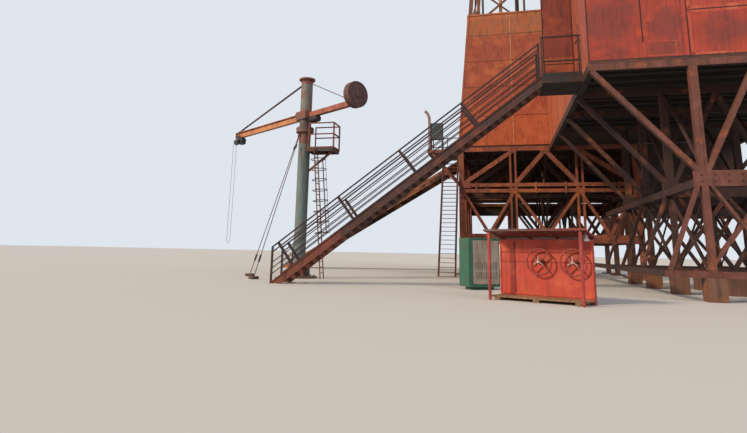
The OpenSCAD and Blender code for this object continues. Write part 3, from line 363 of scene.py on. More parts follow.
# Gusset plates where bars meet, cut from flat plate and bolted through, on both faces of the front
# and back truss. They have rusted with the bars.
gusset = bevel(unit_piece("box", size=(0.25, 0.008, 0.17)), 0.002)
bolt = unit_piece("tube", radius=0.011, depth=0.014, sides=6)
bolt.data.transform(turned(90, "X"))
gusset_places = (
    (-2.35, CHORD_MID_TOP - 0.06), (-INNER, BEAM_LOW + 0.03), (0, BEAM_LOW + 0.03),
    (INNER, BEAM_LOW + 0.03), (2.35, CHORD_MID_TOP - 0.06), (-INNER, CHORD_MID + 0.05),
    (INNER, CHORD_MID + 0.05), (-1.65, CHORD_LOW_TOP - 0.07), (0, CHORD_LOW_TOP - 0.07),
    (1.65, CHORD_LOW_TOP - 0.07))
gussets = []
for y in (-HALF, HALF):
    for side in (-1, 1):
        face = y + side * (TRUSS_HALF + 0.004)
        for x, z in gusset_places:
            gussets.append((gusset, shift(x, face, z)))
            gussets += [(bolt, shift(x + bx, face + side * 0.008, z + bz)) for bx in (-0.09, 0, 0.09)
                        for bz in (-0.05, 0.05)]
assemble("truss_gussets", "root", structure_steel, gussets)

# Clamps that hold the double middle chord together: thick forged blocks drawn round both beams of
# the front and back truss
clamp = bevel(unit_piece("box", size=(0.05, 0.15, 0.34)), 0.006)
assemble("chord_clamps", "root", structure_steel,
         [(clamp, shift(x, y, (CHORD_MID + CHORD_MID_TOP) / 2)) for y in (-HALF, HALF)
          for x in (-2.05, -0.3, 0.55, 2.0)])

# Pipe bracing from truss to truss, welded at its ends, and rolled joists under the floor plating.
# Both are near black, which is painted shade inside the substructure.
pipe, thin_pipe = pipe_template(0.03), pipe_template(0.018, 8)
rows = [-HALF, -INNER, INNER, HALF]
braces = []
for near, far in zip(rows, rows[1:]):
    y0, y1 = near + TRUSS_HALF, far - TRUSS_HALF
    for x in (-INNER, 0.0, INNER):
        for z0, z1 in ((CHORD_LOW_TOP, CHORD_MID), (CHORD_MID_TOP, BEAM_LOW)):
            braces += [(pipe, laid((x - 0.05, y0, z0), (x - 0.05, y1, z1), X_AXIS)),
                       (pipe, laid((x + 0.05, y0, z1), (x + 0.05, y1, z0), X_AXIS))]
    for x0, x1 in ((-HALF, -INNER), (-INNER, INNER), (INNER, HALF)):
        x0, x1 = x0 + 0.08, x1 - 0.08
        z0, z1 = CHORD_MID + 0.14, CHORD_MID + 0.1
        braces += [(thin_pipe, laid((x0, y0, z0), (x1, y1, z0), Z_AXIS)),
                   (thin_pipe, laid((x1, y0, z1), (x0, y1, z1), Z_AXIS))]
assemble("substructure_pipe_braces", "root", shade_dark_steel, braces)
joist = bar_template(0.05, 0.1)
JOIST_STEP, JOIST_MID = 0.43, FLOOR_TOP - 0.092
assemble("drill_floor_joists", "root", shade_dark_steel,
         [(joist, laid((i * JOIST_STEP, near + TRUSS_HALF, JOIST_MID),
                       (i * JOIST_STEP, far - TRUSS_HALF, JOIST_MID), Z_AXIS))
          for near, far in zip(rows, rows[1:]) for i in range(-5, 6)])

# The derrick: four leaning legs with a lattice face on each side, bolted up from angle bars, the
# racking and crown platforms and their guard rails. Its paint is gone and the bars are dark rust.
derrick_steel = weathered(
    "rusted_derrick_angle_bars", "#7d4a38", "#623a2f", "#3b2722", "#99603f", run=0.05, patch=0.6)
platform_steel = weathered(
    "oily_platform_plate", "#5b4036", "#48332c", "#2c211d", "#7a4d37", run=0.08, patch=0.4, under=0.8)
dress(derrick_steel, "derrick_legs", "derrick_face_front", "derrick_face_back", "derrick_face_left",
      "derrick_face_right", "derrick_rails")
dress(platform_steel, "racking_platform", "crown_platform")
LEG_STEP = 3.25      # the length of each piece of a leg
LEG_LEAN = 0.0757    # how far a leg comes in for each metre up

# Splice plates where the lengths of each leg join, cut from flat plate, with two rows of bolts
# through each
splice = bevel(unit_piece("box", size=(0.17, 0.008, 0.36)), 0.002)
splices = []
for i in range(1, 8):
    z = i * LEG_STEP
    half = HALF - z * LEG_LEAN + 0.065
    for sx in (-1, 1):
        for sy in (-1, 1):
            for corner in (shift(sx * (half - 0.07), sy * (half + 0.004), FLOOR_TOP + z),
                           shift(sx * (half + 0.004), sy * (half - 0.07), FLOOR_TOP + z) @ turned(90)):
                splices.append((splice, corner))
                splices += [(bolt, corner @ shift(bx, side * 0.008, bz)) for side in (-1, 1)
                            for bx in (-0.05, 0.05) for bz in (-0.13, -0.05, 0.05, 0.13)]
assemble("leg_splice_plates", "root", derrick_steel, splices)

# The wind cladding: sheets of hot-rolled steel lapped and welded on the derrick's foot. All their
# paint has turned to orange rust, streaked by rain, paler along the top row and the welds.
CLAD_LEAN = 4.344
CLAD_HALF, CLAD_HEIGHT = 2.5, 4.55
CLAD_OUT = 0.0871    # how far the sheets stand out, and the front and back ones past the legs
CLAD_END = 0.0625    # how far the side ones reach past the legs
cladding_sheet = weathered(
    "orange_rusted_sheet", "#ac5033", "#8a3d2b", "#602d24", "#bb6540", run=0.04, patch=0.38, rust_at=0.58,
    roughness=0.8, relief=0.002, grain=0.009, under=0.7, sheet=(1.62, 0.93), tone=0.3, soft=0.14,
    bands=[(Z_AXIS, 7.6, 8.6, "#a9683f", 0.1), (Z_AXIS, 3.0, 4.9, "#b6552c", 0.5)])
dress(cladding_sheet, "wind_cladding")
weld_steel = weathered(
    "pale_ground_weld_seams", "#b97d5c", "#9c563a", "#7b402e", "#c89270", run=0.05, patch=0.3)
lap_steel = weathered(
    "dark_lap_edges_of_sheets", "#6e3626", "#57291f", "#3c1f19", "#9a5332", run=0.05, patch=0.3)


def on_cladding(turn):
    """A side of the cladding: X across it, Y up its slope and Z out of its face."""
    return turned(turn) @ shift(0, -CLAD_HALF, FLOOR_TOP) @ turned(90 - CLAD_LEAN, "X")


def clad_half(v, turn):
    """Half the width of a side of the cladding, v metres up its slope."""
    return CLAD_HALF - v * LEG_LEAN + (CLAD_OUT if turn in (0, 180) else CLAD_END)


def scaled(x, y, z):
    return Matrix.Diagonal((x, y, z, 1))


strip = bar_template(0.03, 0.006, 0.001)
lap_strip = bar_template(0.022, 0.008, 0.002)
edge_bar = bar_template(0.06, 0.02, 0.003)
out = CLAD_OUT + 0.003
welds, laps, edges = [], [], []
for turn in (0, 90, 180, 270):
    side = on_cladding(turn)
    low = 2.75 if turn == 270 else 0.1      # over the pipe door on the left
    for x in (-0.895, 0.895):
        welds.append((strip, side @ laid((x, low, out), (x, CLAD_HEIGHT - 0.03, out), Z_AXIS)))
    for s in (-1, 1):
        bottom, top = s * (clad_half(0.1, turn) - 0.075), s * (clad_half(3.7, turn) - 0.075)
        welds.append((strip, side @ laid((bottom, 0.1, out), (top, 3.7, out), Z_AXIS) @ scaled(0.6, 1, 1)))
    for v in (0.97, 1.95, 2.84, 3.76):
        half = clad_half(v, turn) - 0.03
        spans = [(-half, -0.7), (0.7, half)] if turn == 270 and v < 2.7 else [(-half, half)]
        laps += [(lap_strip, side @ laid((x0, v, out), (x1, v, out), Z_AXIS)) for x0, x1 in spans]
    half, top = clad_half(CLAD_HEIGHT, turn) - 0.005, CLAD_HEIGHT - 0.035
    edges.append((edge_bar, side @ laid((-half, top, out + 0.006), (half, top, out + 0.006), Z_AXIS)))
    if turn in (0, 180):
        for s in (-1, 1):
            foot = (s * (clad_half(0.1, turn) - 0.035), 0.1, out + 0.006)
            head = (s * (clad_half(CLAD_HEIGHT, turn) - 0.035), CLAD_HEIGHT, out + 0.006)
            edges.append((edge_bar, side @ laid(foot, head, Z_AXIS)))
assemble("cladding_weld_seams", "root", weld_steel, welds)
assemble("cladding_lap_edges", "root", lap_steel, laps)
assemble("cladding_edge_angles", "root", cladding_sheet, edges)

# Stand pipes and guide posts that rise inside the derrick behind the cladding, clamped to the
# faces: one pale, the others near black as painted shade
pale_pipe = weathered(
    "bare_galvanised_stand_pipe", "#b98a66", "#93694f", "#6c4c3c", "#c99868", run=0.04, patch=0.2)
mud_pipe, guide_pipe = pipe_template(0.055, 14), pipe_template(0.035, 12)
assemble("mud_stand_pipe", "root", pale_pipe,
         [(mud_pipe, shift(-1.16, -2.02, FLOOR_TOP + 0.02) @ scaled(1, 1, 7.6))])
assemble("guide_posts", "root", shade_dark_steel,
         [(guide_pipe, shift(x, y, FLOOR_TOP + 0.02) @ scaled(1, 1, 8.2))
          for x, y in ((-1.74, -2.0), (-0.66, -2.02), (-0.6, -1.95), (-0.4, -2.0))])

# Under the gear house: four welded frames on a base, with tie beams between them. The front frame
# shows brown rust; behind it the frames, tie beams and bearers are near black, which is painted shade.
# A band along Y darkens every frame behind the front one to near black: painted shade
frame_steel = weathered(
    "brown_rusted_box_sections", "#77463a", "#59352c", "#33211d", "#935539", run=0.05, patch=0.35,
    rust_at=0.66, under=0.93, bands=[(Y_AXIS, -9.6, 0.0, "#3b2520", 0.05)])
# Dark brown steel for the tie beams and braces under the house, whose darkness is painted shade; the ramp's
# ribs, the panel slots and the door's handle use it too
tie_steel = weathered(
    "shade_darkened_tie_beams", "#432a21", "#32201b", "#1f1614", "#5a3728", run=0.05, patch=0.35, rust_at=0.64,
    under=0.95)
# Near-black steel for the floor bearers and frame bolts under the house: painted shade
black_steel = weathered(
    "near_black_shade_floor_bearers", "#241c1a", "#1c1716", "#121010", "#33231d", run=0.05, patch=0.35,
    rust_at=0.7, under=0.97)
dress(frame_steel, "house_frames")
dress(tie_steel, "house_tie_beams")
FRAME_ROWS, FRAME_HALF = (-9.675, -8.05, -6.425, -4.8), 0.05
POSTS = (1.725, 3.545)
HOUSE_LEFT, HOUSE_RIGHT, HOUSE_FRONT, HOUSE_BACK = 0.135, 5.135, -9.725, -2.589
HOUSE_MID = (HOUSE_LEFT + HOUSE_RIGHT) / 2
bays = list(zip(FRAME_ROWS, FRAME_ROWS[1:]))

bolts = [(bolt, shift(x, row + side * (FRAME_HALF + 0.006), z)) for row in FRAME_ROWS for side in (-1, 1)
         for x in [POSTS[0] - 0.04 + i * 0.19 for i in range(11)] for z in (1.82, 1.93)]
assemble("frame_bolts", "root", black_steel, bolts)

braces = []
for near, far in bays:
    y0, y1 = near + FRAME_HALF, far - FRAME_HALF
    for x in POSTS:
        braces += [(pipe, laid((x - 0.03, y0, 0.46), (x - 0.03, y1, 1.74), X_AXIS)),
                   (pipe, laid((x + 0.03, y0, 2.02), (x + 0.03, y1, 3.72), X_AXIS)),
                   (thin_pipe, laid((x + 0.04, y0, 1.7), (x + 0.04, y1, 0.5), X_AXIS))]
    braces += [(thin_pipe, laid((POSTS[0], y0, 1.9), (POSTS[1], y1, 1.9), Z_AXIS)),
               (thin_pipe, laid((POSTS[1], y0, 1.86), (POSTS[0], y1, 1.86), Z_AXIS))]
assemble("house_pipe_braces", "root", tie_steel, braces)

# Floor bearers of the gear house: rolled joists laid across the frames, three in each bay, near black
# as painted shade under the house
bearer = bar_template(0.06, 0.07)
assemble("house_floor_bearers", "root", black_steel,
         [(bearer, laid((HOUSE_LEFT + 0.06, y, 3.822), (HOUSE_RIGHT - 0.06, y, 3.822), Z_AXIS))
          for near, far in bays for y in [near + (far - near) * k / 4 for k in (1, 2, 3)]])


def upright(template, x, y, z0, z1, facing=(0, -1, 0)):
    """A bar that stands upright, and where."""
    return template, laid((x, y, z0), (x, y, z1), facing)


def level(template, x0, x1, y, z, facing=(0, -1, 0)):
    """A bar that lies level from left to right, and where."""
    return template, laid((x0, y, z), (x1, y, z), facing)


# The floor of the gear house: plate edged with rolled channel, brown and dusty, whose two flanges
# stand out along the front
edge_steel = weathered(
    "dusty_brown_floor_channel", "#604239", "#4b332e", "#30221f", "#774c3c", run=0.06, patch=0.5,
    under=0.97)
dress(edge_steel, "house_floor")
flange = bar_template(0.022, 0.012, 0.003)
assemble("floor_channel_flanges", "root", edge_steel,
         [level(flange, HOUSE_LEFT + 0.005, HOUSE_RIGHT - 0.005, HOUSE_FRONT + 0.0065, z, Z_AXIS)
          for z in (3.868, 3.893)])

# The gear house walls: large steel sheets once painted red lead. Rain has washed maroon clouds over
# the brighter red, and each sheet keeps a bright border where it was welded to its frame.
house_sheet = weathered(
    "clouded_red_lead_sheet", "#b3432f", "#7c372d", "#5f2a26", "#bd4a34", run=0.055, patch=0.42,
    worn_at=0.56, rust_at=0.66, roughness=0.68, relief=0.0015, grain=0.008, sheet=(1.85, 2.6), tone=0.12,
    soft=0.06, clouds=[((x, -9.7, z), (wide, 3, tall)) for x, z, wide, tall in (
        (0.55, 4.62, 0.5, 0.34), (0.42, 4.02, 0.34, 0.16), (1.28, 4.06, 0.3, 0.13),
        (1.32, 4.5, 0.3, 0.26), (2.2, 4.33, 0.36, 0.26), (0.9, 5.3, 0.7, 0.3))])
roof_sheet = weathered(
    "dusty_red_lead_roof_sheet", "#97503f", "#82574a", "#5f4038", "#ab6c50", run=0.09, patch=0.7,
    rust_at=0.62, roughness=0.8, relief=0.0015, grain=0.01, under=0.7, sheet=(0.64, 2.6), tone=0.3,
    soft=0.14)
side_sheet = weathered(
    "salmon_red_side_sheet", "#ae563f", "#914636", "#6b382e", "#b3603f", run=0.06, patch=0.6, roughness=0.7,
    relief=0.0015, grain=0.008, bands=[(Y_AXIS, -8.3, 0.0, "#b45a35", 0.1)])
dress(house_sheet, "house_walls")
dress(roof_sheet, "house_roof")
dress(side_sheet, "entrance_wall")
seam, rim = bar_template(0.02, 0.006, 0.002), bar_template(0.05, 0.004, 0.001)


def outline(x0, x1, y, z0, z1):
    """The corners of a rectangle that faces the front."""
    return [(x0, y, z0), (x1, y, z0), (x1, y, z1), (x0, y, z1)]


def border(template, corners, facing=(0, -1, 0), slim=Matrix()):
    """A bar along each side of a closed outline."""
    return [(template, laid(a, b, facing) @ slim) for a, b in zip(corners, corners[1:] + corners[:1])]


WALL_FOOT, WALL_HEAD, face = 3.91, 6.45, HOUSE_FRONT
dark_seams = [upright(seam, x, face - 0.002, WALL_FOOT, 6.66) for x in (1.712, 3.558)]
dark_seams += [upright(seam, x, face - 0.0012, 4.2, 6.62) for x in (1.01, 4.26)]
dark_seams += [level(seam, x0, HOUSE_RIGHT - 0.03, face - 0.0016, z)
               for x0, z in ((1.73, 4.715), (HOUSE_LEFT + 0.03, 5.6))]
dark_seams += [upright(seam, HOUSE_RIGHT + 0.001, y, WALL_FOOT, WALL_HEAD, X_AXIS)
               for y in (-8.2, -6.6, -5.0, -3.6)]
dark_seams += [upright(seam, HOUSE_LEFT - 0.001, y, WALL_FOOT, WALL_HEAD, X_AXIS)
               for y in (-6.6, -5.0, -3.6)]
# The level strip at 3.906 along the wall's foot is a painted shadow line between the wall and the floor
# channel
dark_seams += [upright(seam, HOUSE_LEFT + 0.008, face - 0.002, WALL_FOOT, 6.48),
               level(seam, HOUSE_LEFT + 0.01, HOUSE_RIGHT - 0.01, face - 0.002, 3.906)]
bright_rims = []
for z0, z1 in ((3.93, 4.68), (4.75, 5.56)):
    for x0, x1 in ((1.75, 3.52), (3.6, 5.08)):
        bright_rims += border(rim, outline(x0, x1, face - 0.0005, z0, z1))
hatch = outline(1.03, 1.515, face - 0.0005, 3.94, 4.19)
bright_rims += border(rim, hatch, slim=scaled(0.4, 1, 1))
bright_steel = weathered(
    "bright_red_welded_border", "#b74c36", "#a0402f", "#77332b", "#c5654a", run=0.06, patch=0.3)
shadowed_joint = weathered("shadowed_sheet_joints", "#3d1d19", "#2f1715", "#200f0e", "#5c2f25")
assemble("house_sheet_seams_and_painted_shadow_line", "root", shadowed_joint, dark_seams)
assemble("house_sheet_borders", "root", bright_steel, bright_rims)

# The roof: sheets laid up both slopes to a ridge cap, folded together at their edges and held down
# along the standing seams
slope = math.atan2(0.35, 2.5)
rise = math.tan(slope)
RIDGE_TOP, ROOF_REACH = 6.85 + 0.052, 2.56
ribs = []
for i in range(12):
    y = HOUSE_FRONT - 0.04 + i * 0.64
    for s in (-1, 1):
        foot = (HOUSE_MID + s * ROOF_REACH, y, RIDGE_TOP - ROOF_REACH * rise)
        ribs.append((rim, laid(foot, (HOUSE_MID, y, RIDGE_TOP), Z_AXIS) @ scaled(0.5, 3, 1)))
for s in (-1, 1):
    x = HOUSE_MID + s * 0.035
    out_of_roof = (s * math.sin(slope), 0, math.cos(slope))
    ribs.append((rim, laid((x, HOUSE_FRONT - 0.08, 6.896), (x, HOUSE_BACK - 0.01, 6.896), out_of_roof)
                 @ scaled(1.6, 3, 1)))
assemble("roof_seams_and_ridge_cap", "root", roof_sheet, ribs)

# The house's back end: one bare steel sheet, cut to the roof's slope and welded between the walls,
# clear of the derrick's leaning cladding
BACK_SHEET = 0.03
wall_low, wall_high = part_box("entrance_wall")
back_left, back_right = HOUSE_LEFT + BACK_SHEET + 0.001, HOUSE_RIGHT - BACK_SHEET - 0.001
back_sheet = unit_piece("box", at=(HOUSE_MID, HOUSE_BACK - BACK_SHEET / 2, (wall_low.z + wall_high.z) / 2),
                        size=(back_right - back_left, BACK_SHEET, wall_high.z - wall_low.z - 0.001))
bpy.ops.object.mode_set(mode="EDIT")
bpy.ops.mesh.select_all(action="SELECT")
bpy.ops.mesh.subdivide(number_cuts=1)
bpy.ops.object.mode_set(mode="OBJECT")
for vertex in back_sheet.data.vertices:
    if abs(vertex.co.x - HOUSE_MID) < 0.001 and vertex.co.z > wall_high.z - 0.01:
        vertex.co.z += rise * (back_right - HOUSE_MID)
assemble("house_back_wall", "root", side_sheet,
         [(back_sheet, Matrix())]
         + [upright(seam, x, HOUSE_BACK + 0.001, WALL_FOOT, WALL_HEAD, Y_AXIS) for x in (3.4, 4.25)])

# The entrance door: a flat steel leaf with a pressed border and a bent pull handle, its red paint
# dulled by hands and rain
door_low, door_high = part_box("entrance_door")
dress(weathered(
    "worn_red_door_leaf", "#9a4b3a", "#7c3c31", "#55302a", "#b2644a", run=0.05, patch=0.3), "entrance_door")
DOOR_X = HOUSE_LEFT - 0.002
y0, y1, z0, z1 = -8.93, -8.56, door_low.z + 0.09, door_high.z - 0.1
corners = [(DOOR_X, y0, z0), (DOOR_X, y1, z0), (DOOR_X, y1, z1), (DOOR_X, y0, z1)]
assemble("door_border", "door", bright_steel,
         border(rim, corners, (-1, 0, 0), scaled(0.5, 1.5, 1)))
handle = unit_piece("ring", radius=0.05, bar=0.007, sides=20)
handle.data.transform(scaled(0.45, 1, 1) @ turned(90, "X"))
assemble("door_pull_handle", "door", tie_steel,
         [(handle, shift(DOOR_X - 0.006, y0 + 0.03, z0 + 0.9) @ turned(180))])

# The landing and its screen at the head of the main stair: a plate deck in channel edges, a low
# guard rail, and a tall sheet screen that shelters the entrance door.
dark_rail = weathered(
    "blackened_hand_rail", "#38272b", "#2d2022", "#1c1415", "#553228", run=0.04, patch=0.3, rust_at=0.66)
landing_steel = weathered(
    "black_greasy_landing_plate", "#2f2826", "#262120", "#171413", "#4c352c", run=0.05, patch=0.3,
    under=0.97)
screen_sheet = weathered(
    "maroon_painted_screen", "#8b3c2f", "#6b2f29", "#4d2522", "#9c4c34", run=0.05, patch=0.45,
    roughness=0.7, relief=0.0015, bands=[(Z_AXIS, 3.8, 4.55, "#a95638", 0.3)])
dress(landing_steel, "landing")
dress(screen_sheet, "landing_screen")
LAND_X0, LAND_X1, LAND_Y0, LAND_Y1 = -0.575, 0.135, -9.05, -8.2
kick, slim = bar_template(0.008, 0.07, 0.002), bar_template(0.02, 0.02, 0.004)
assemble("landing_kick_plates", "root", landing_steel,
         [level(kick, LAND_X0 + 0.01, LAND_X1 - 0.01, LAND_Y0 + 0.007, 3.936, Z_AXIS),
          level(kick, LAND_X0 + 0.12, LAND_X1 - 0.01, LAND_Y1 - 0.036, 3.936, Z_AXIS)])
screen_face = LAND_Y1 - 0.031
assemble("screen_edge_angles", "root", shadowed_joint,
         [upright(seam, x, screen_face, 3.93, 6.29) for x in (-0.455, 0.115)]
         + [level(seam, -0.44, 0.1, screen_face, z) for z in (3.935, 4.42)])

# The main stair: two channel stringers with plate treads between them and railings of pipe on both
# sides. Years of muddy boots have left it nearly black, and its foot is rusted a lighter brown.
stair_steel = weathered(
    "nearly_black_stair_channels", "#4a302c", "#382523", "#221716", "#6f3f30", run=0.06, patch=0.35,
    under=0.93, bands=[(X_AXIS, -6.4, -4.4, "#7e4234", 0.5)])
tread_steel = weathered(
    "mud_caked_plate_treads", "#443934", "#342b28", "#1f1a18", "#574338", run=0.05, patch=0.2, under=0.95)
dress(stair_steel, "stair_stringers")
dress(tread_steel, "stair_treads")
dress(dark_rail, "stair_rails")
STAIR_FOOT, STAIR_HEAD, STAIR_DEG, TREADS = -5.8, -0.575, 36.74, 23
STRINGERS = (-9.032, -8.528)
pitch = math.tan(math.radians(STAIR_DEG))
stair_cos, stair_sin = math.cos(math.radians(STAIR_DEG)), math.sin(math.radians(STAIR_DEG))


def on_stair(x, y, up):
    """A point over the line of the stair's nosings."""
    return (x, y, (x - STAIR_FOOT) * pitch + up)


cleat = bar_template(0.025, 0.006, 0.001)
cleats = []
for y, inward in ((STRINGERS[0] + 0.021, 1), (STRINGERS[1] - 0.021, -1)):
    for i in range(1, TREADS):
        x = STAIR_FOOT + (STAIR_HEAD - STAIR_FOOT) * i / TREADS
        back, front = on_stair(x - 0.09, y, -0.045), on_stair(x + 0.02, y, -0.125)
        cleats.append((cleat, laid(back, front, (0, inward, 0))))
assemble("tread_cleats", "root", stair_steel, cleats)
near, far = STRINGERS[0] + 0.02, STRINGERS[1] - 0.02
assemble("stringer_ties", "root", stair_steel,
         [(slim, laid(on_stair(x, near, -0.13), on_stair(x, far, -0.13), Z_AXIS))
          for x in (-4.9, -3.8, -2.7, -1.6)])
clip = unit_piece("ring", radius=0.024, bar=0.006, sides=12)
clips = []
for y in STRINGERS:
    for i in range(4):
        post_x = STAIR_FOOT + (0.55 + 1.49 * i) * stair_cos
        for up in (0.10, 0.19, 0.28, 0.44, 0.53):
            at = on_stair(post_x - up * stair_sin + 0.02, y, up / stair_cos)
            clips.append((clip, shift(*at) @ turned(-STAIR_DEG, "Y") @ turned(90, "Y")))
assemble("stair_rail_clips", "root", dark_rail, clips)

# The pipe ramp: a plate trough between two deep side plates, rusted bright. A near-black band
# along each side plate below its top edge is painted shade, as is the darkening of its underside.
RAMP_HEAD, RAMP_FOOT, RAMP_DEG = -2.575, -9.145, 30.7
RAMP_UP = (-math.sin(math.radians(RAMP_DEG)), 0, math.cos(math.radians(RAMP_DEG)))
RAMP_SURFACE = RAMP_FOOT * RAMP_UP[0]
ramp_pitch = math.tan(math.radians(RAMP_DEG))
# The band along RAMP_UP paints the side plates near black below their top edge: painted shade
ramp_steel = weathered(
    "rusted_ramp_plate_with_painted_shade_band", "#9a5638", "#7b442f", "#4a2d24", "#bd7545", run=0.07, patch=0.4, under=0.95,
    bands=[(RAMP_UP, RAMP_SURFACE - 0.5, RAMP_SURFACE - 0.085, "#211a18", 0.02)])
dress(ramp_steel, "ramp")


def on_ramp(x, y, up):
    """A point over the line of the ramp."""
    return (x, y, (x - RAMP_FOOT) * ramp_pitch + up)


lip, rib = bar_template(0.05, 0.012, 0.003), bar_template(0.05, 0.03, 0.003)
assemble("ramp_edge_lips", "root", ramp_steel,
         [(lip, laid(on_ramp(RAMP_FOOT + 0.12, y, 0.003), on_ramp(RAMP_HEAD - 0.03, y, 0.003), RAMP_UP))
          for y in (-0.478, 0.478)])
assemble("ramp_cross_ribs", "root", tie_steel,
         [(rib, laid(on_ramp(x, -0.47, -0.155), on_ramp(x, 0.47, -0.155), RAMP_UP))
          for x in [RAMP_FOOT + 0.55 * i + 0.4 for i in range(1, 12)]])

# The balcony at the floor's left edge, a plate deck in channel edges with a guard rail and braces,
# and the steep stair below it. All are brown with rust.
balcony_steel = weathered(
    "orange_brown_balcony_channel", "#94523a", "#753f2f", "#48291f", "#b16a42", run=0.05, patch=0.3,
    under=0.85)
dress(balcony_steel, "balcony")
dress(dark_rail, "balcony_rails")
dress(weathered(
    "rusted_steep_stair", "#6f4034", "#57332b", "#38211d", "#8a5039", run=0.04, patch=0.3), "steep_stair")
BALC_X0, BALC_X1, BALC_Y0, BALC_Y1 = -3.6, -2.575, -2.165, -0.665
edge_x, edge_y = BALC_X0 + 0.004, BALC_Y0 + 0.004
flanges = []
for start, end, facing in (((BALC_X0 + 0.005, edge_y), (BALC_X1 - 0.01, edge_y), (0, -1, 0)),
                           ((edge_x, BALC_Y0 + 0.005), (edge_x, BALC_Y1 - 0.01), (-1, 0, 0))):
    flanges += [(slim, laid((*start, z), (*end, z), facing) @ scaled(0.9, 1, 1)) for z in (3.812, 3.888)]
assemble("balcony_flanges", "root", balcony_steel, flanges)

# Hand rails of pipe beside the steep stair, on short posts welded to its stringers, blackened like
# the other rails
STEEP_SIDES, STEEP_FOOT, STEEP_HEAD = (-3.07, -2.616), -4.0, -2.165
steep_rails = []
for x in STEEP_SIDES:
    foot, head = Vector((x, STEEP_FOOT + 0.1, 0.45)), Vector((x, STEEP_HEAD - 0.14, 4.05))
    steep_rails.append((thin_pipe, laid(foot, head, X_AXIS) @ scaled(0.7, 0.7, 1)))
    for share in (0.02, 0.27, 0.52, 0.77, 0.97):
        at = foot.lerp(head, share)
        post = laid(at, (x, at.y + 0.1, at.z - 0.12), X_AXIS)
        steep_rails.append((thin_pipe, post @ scaled(0.6, 0.6, 1)))
assemble("steep_stair_hand_rails", "root", dark_rail, steep_rails)

# A cable conduit in a wide swan neck at the balcony's corner: thin galvanised pipe, bent in an arc
# and open at its ends
CONDUIT_X, CONDUIT_Y, CONDUIT_FOOT, BEND = BALC_X0 + 0.055, BALC_Y0 + 0.055, 3.905, 0.42
bpy.ops.object.select_all(action="DESELECT")
bpy.ops.mesh.primitive_circle_add(vertices=16, radius=0.042, location=(CONDUIT_X, CONDUIT_Y, CONDUIT_FOOT))
conduit = bpy.context.object
templates.append(conduit)
bpy.ops.object.mode_set(mode="EDIT")
bpy.ops.mesh.select_all(action="SELECT")
bpy.ops.mesh.extrude_region_move(TRANSFORM_OT_translate={"value": (0, 0, 1.0)})
bpy.ops.mesh.spin(steps=10, angle=math.radians(48), axis=Y_AXIS,
                  center=(CONDUIT_X - BEND, CONDUIT_Y, CONDUIT_FOOT + 1.0))
bpy.ops.object.mode_set(mode="OBJECT")
solid = conduit.modifiers.new("wall", "SOLIDIFY")
solid.thickness = 0.004
bpy.ops.object.modifier_apply(modifier="wall")
bpy.ops.object.transform_apply(location=True, rotation=True, scale=True)
bpy.ops.object.mode_set(mode="EDIT")
bpy.ops.mesh.select_all(action="SELECT")
bpy.ops.mesh.remove_doubles(threshold=0.0005)
bpy.ops.mesh.normals_make_consistent(inside=False)
bpy.ops.object.mode_set(mode="OBJECT")
galvanised = weathered(
    "dull_galvanised_conduit", "#9a8f8c", "#857672", "#65524b", "#93604c", run=0.03, patch=0.15,
    roughness=0.5, relief=0.0006)
assemble("swan_neck_conduit", "root", galvanised, [(conduit, Matrix())])

# The cabinets: folded steel with a green coat. The control cabinet has a pale closing panel, bolted
# on and slotted for air, and the switch cabinet a door with a folded edge and a handle.
green_coat = weathered(
    "faded_green_cabinet_enamel", "#2f7458", "#3b6450", "#2c4a3e", "#6f5a45", run=0.04, patch=0.25,
    roughness=0.5, relief=0.0008, grain=0.006, rust_at=0.69, bands=[(Z_AXIS, 3.9, 5.0, "#43565c", 0.05)])
dress(green_coat, "cabinets")
pale_panel = weathered(
    "pale_beige_closing_panel", "#a59a8c", "#96846f", "#6f6156", "#b39072", run=0.03, patch=0.5,
    roughness=0.6, relief=0.0006, grain=0.006, rust_at=0.7)
at_control = shift(-1.71, -8.815, 0) @ turned(28.5)


def moved(at, placed):
    """The same pieces on something that stands elsewhere or is turned."""
    return [(template, at @ matrix) for template, matrix in placed]


panel = bevel(unit_piece("box", at=(0.03, -0.0155, 0.492), size=(0.516, 0.004, 0.78)), 0.0015)
panel_bolt = unit_piece("tube", radius=0.009, depth=0.008, sides=6)
panel_bolt.data.transform(turned(90, "X"))
panel_bolts = [(panel_bolt, shift(x, -0.02, z)) for x in (-0.21, 0.03, 0.27) for z in (0.125, 0.86)]
assemble("closing_panel", "root", pale_panel,
         moved(at_control, [(panel, Matrix())] + panel_bolts))
slot_bar = bar_template(0.007, 0.003, 0.001)
slots = [upright(slot_bar, x, -0.0185, z, z + 0.13) for x in [-0.18 + 0.035 * i for i in range(13)]
         for z in (0.19, 0.36)]
assemble("panel_slots", "root", tie_steel, moved(at_control, slots))
cab_edge = bar_template(0.02, 0.012, 0.003)
cab_corners = outline(-0.3, 0.3, -0.001, 0.06, 0.91)
SWITCH_LEFT, SWITCH_RIGHT, SWITCH_FRONT = -3.535, -3.115, -2.1
door_corners = outline(SWITCH_LEFT + 0.03, SWITCH_RIGHT - 0.03, SWITCH_FRONT - 0.002, 4.31, 4.775)
assemble("cabinet_edges_and_handle", "root", green_coat,
         moved(at_control, border(cab_edge, cab_corners))
         + border(cab_edge, door_corners, slim=scaled(0.6, 0.5, 1))
         + [upright(cab_edge, -3.17, -2.112, 4.48, 4.6)])

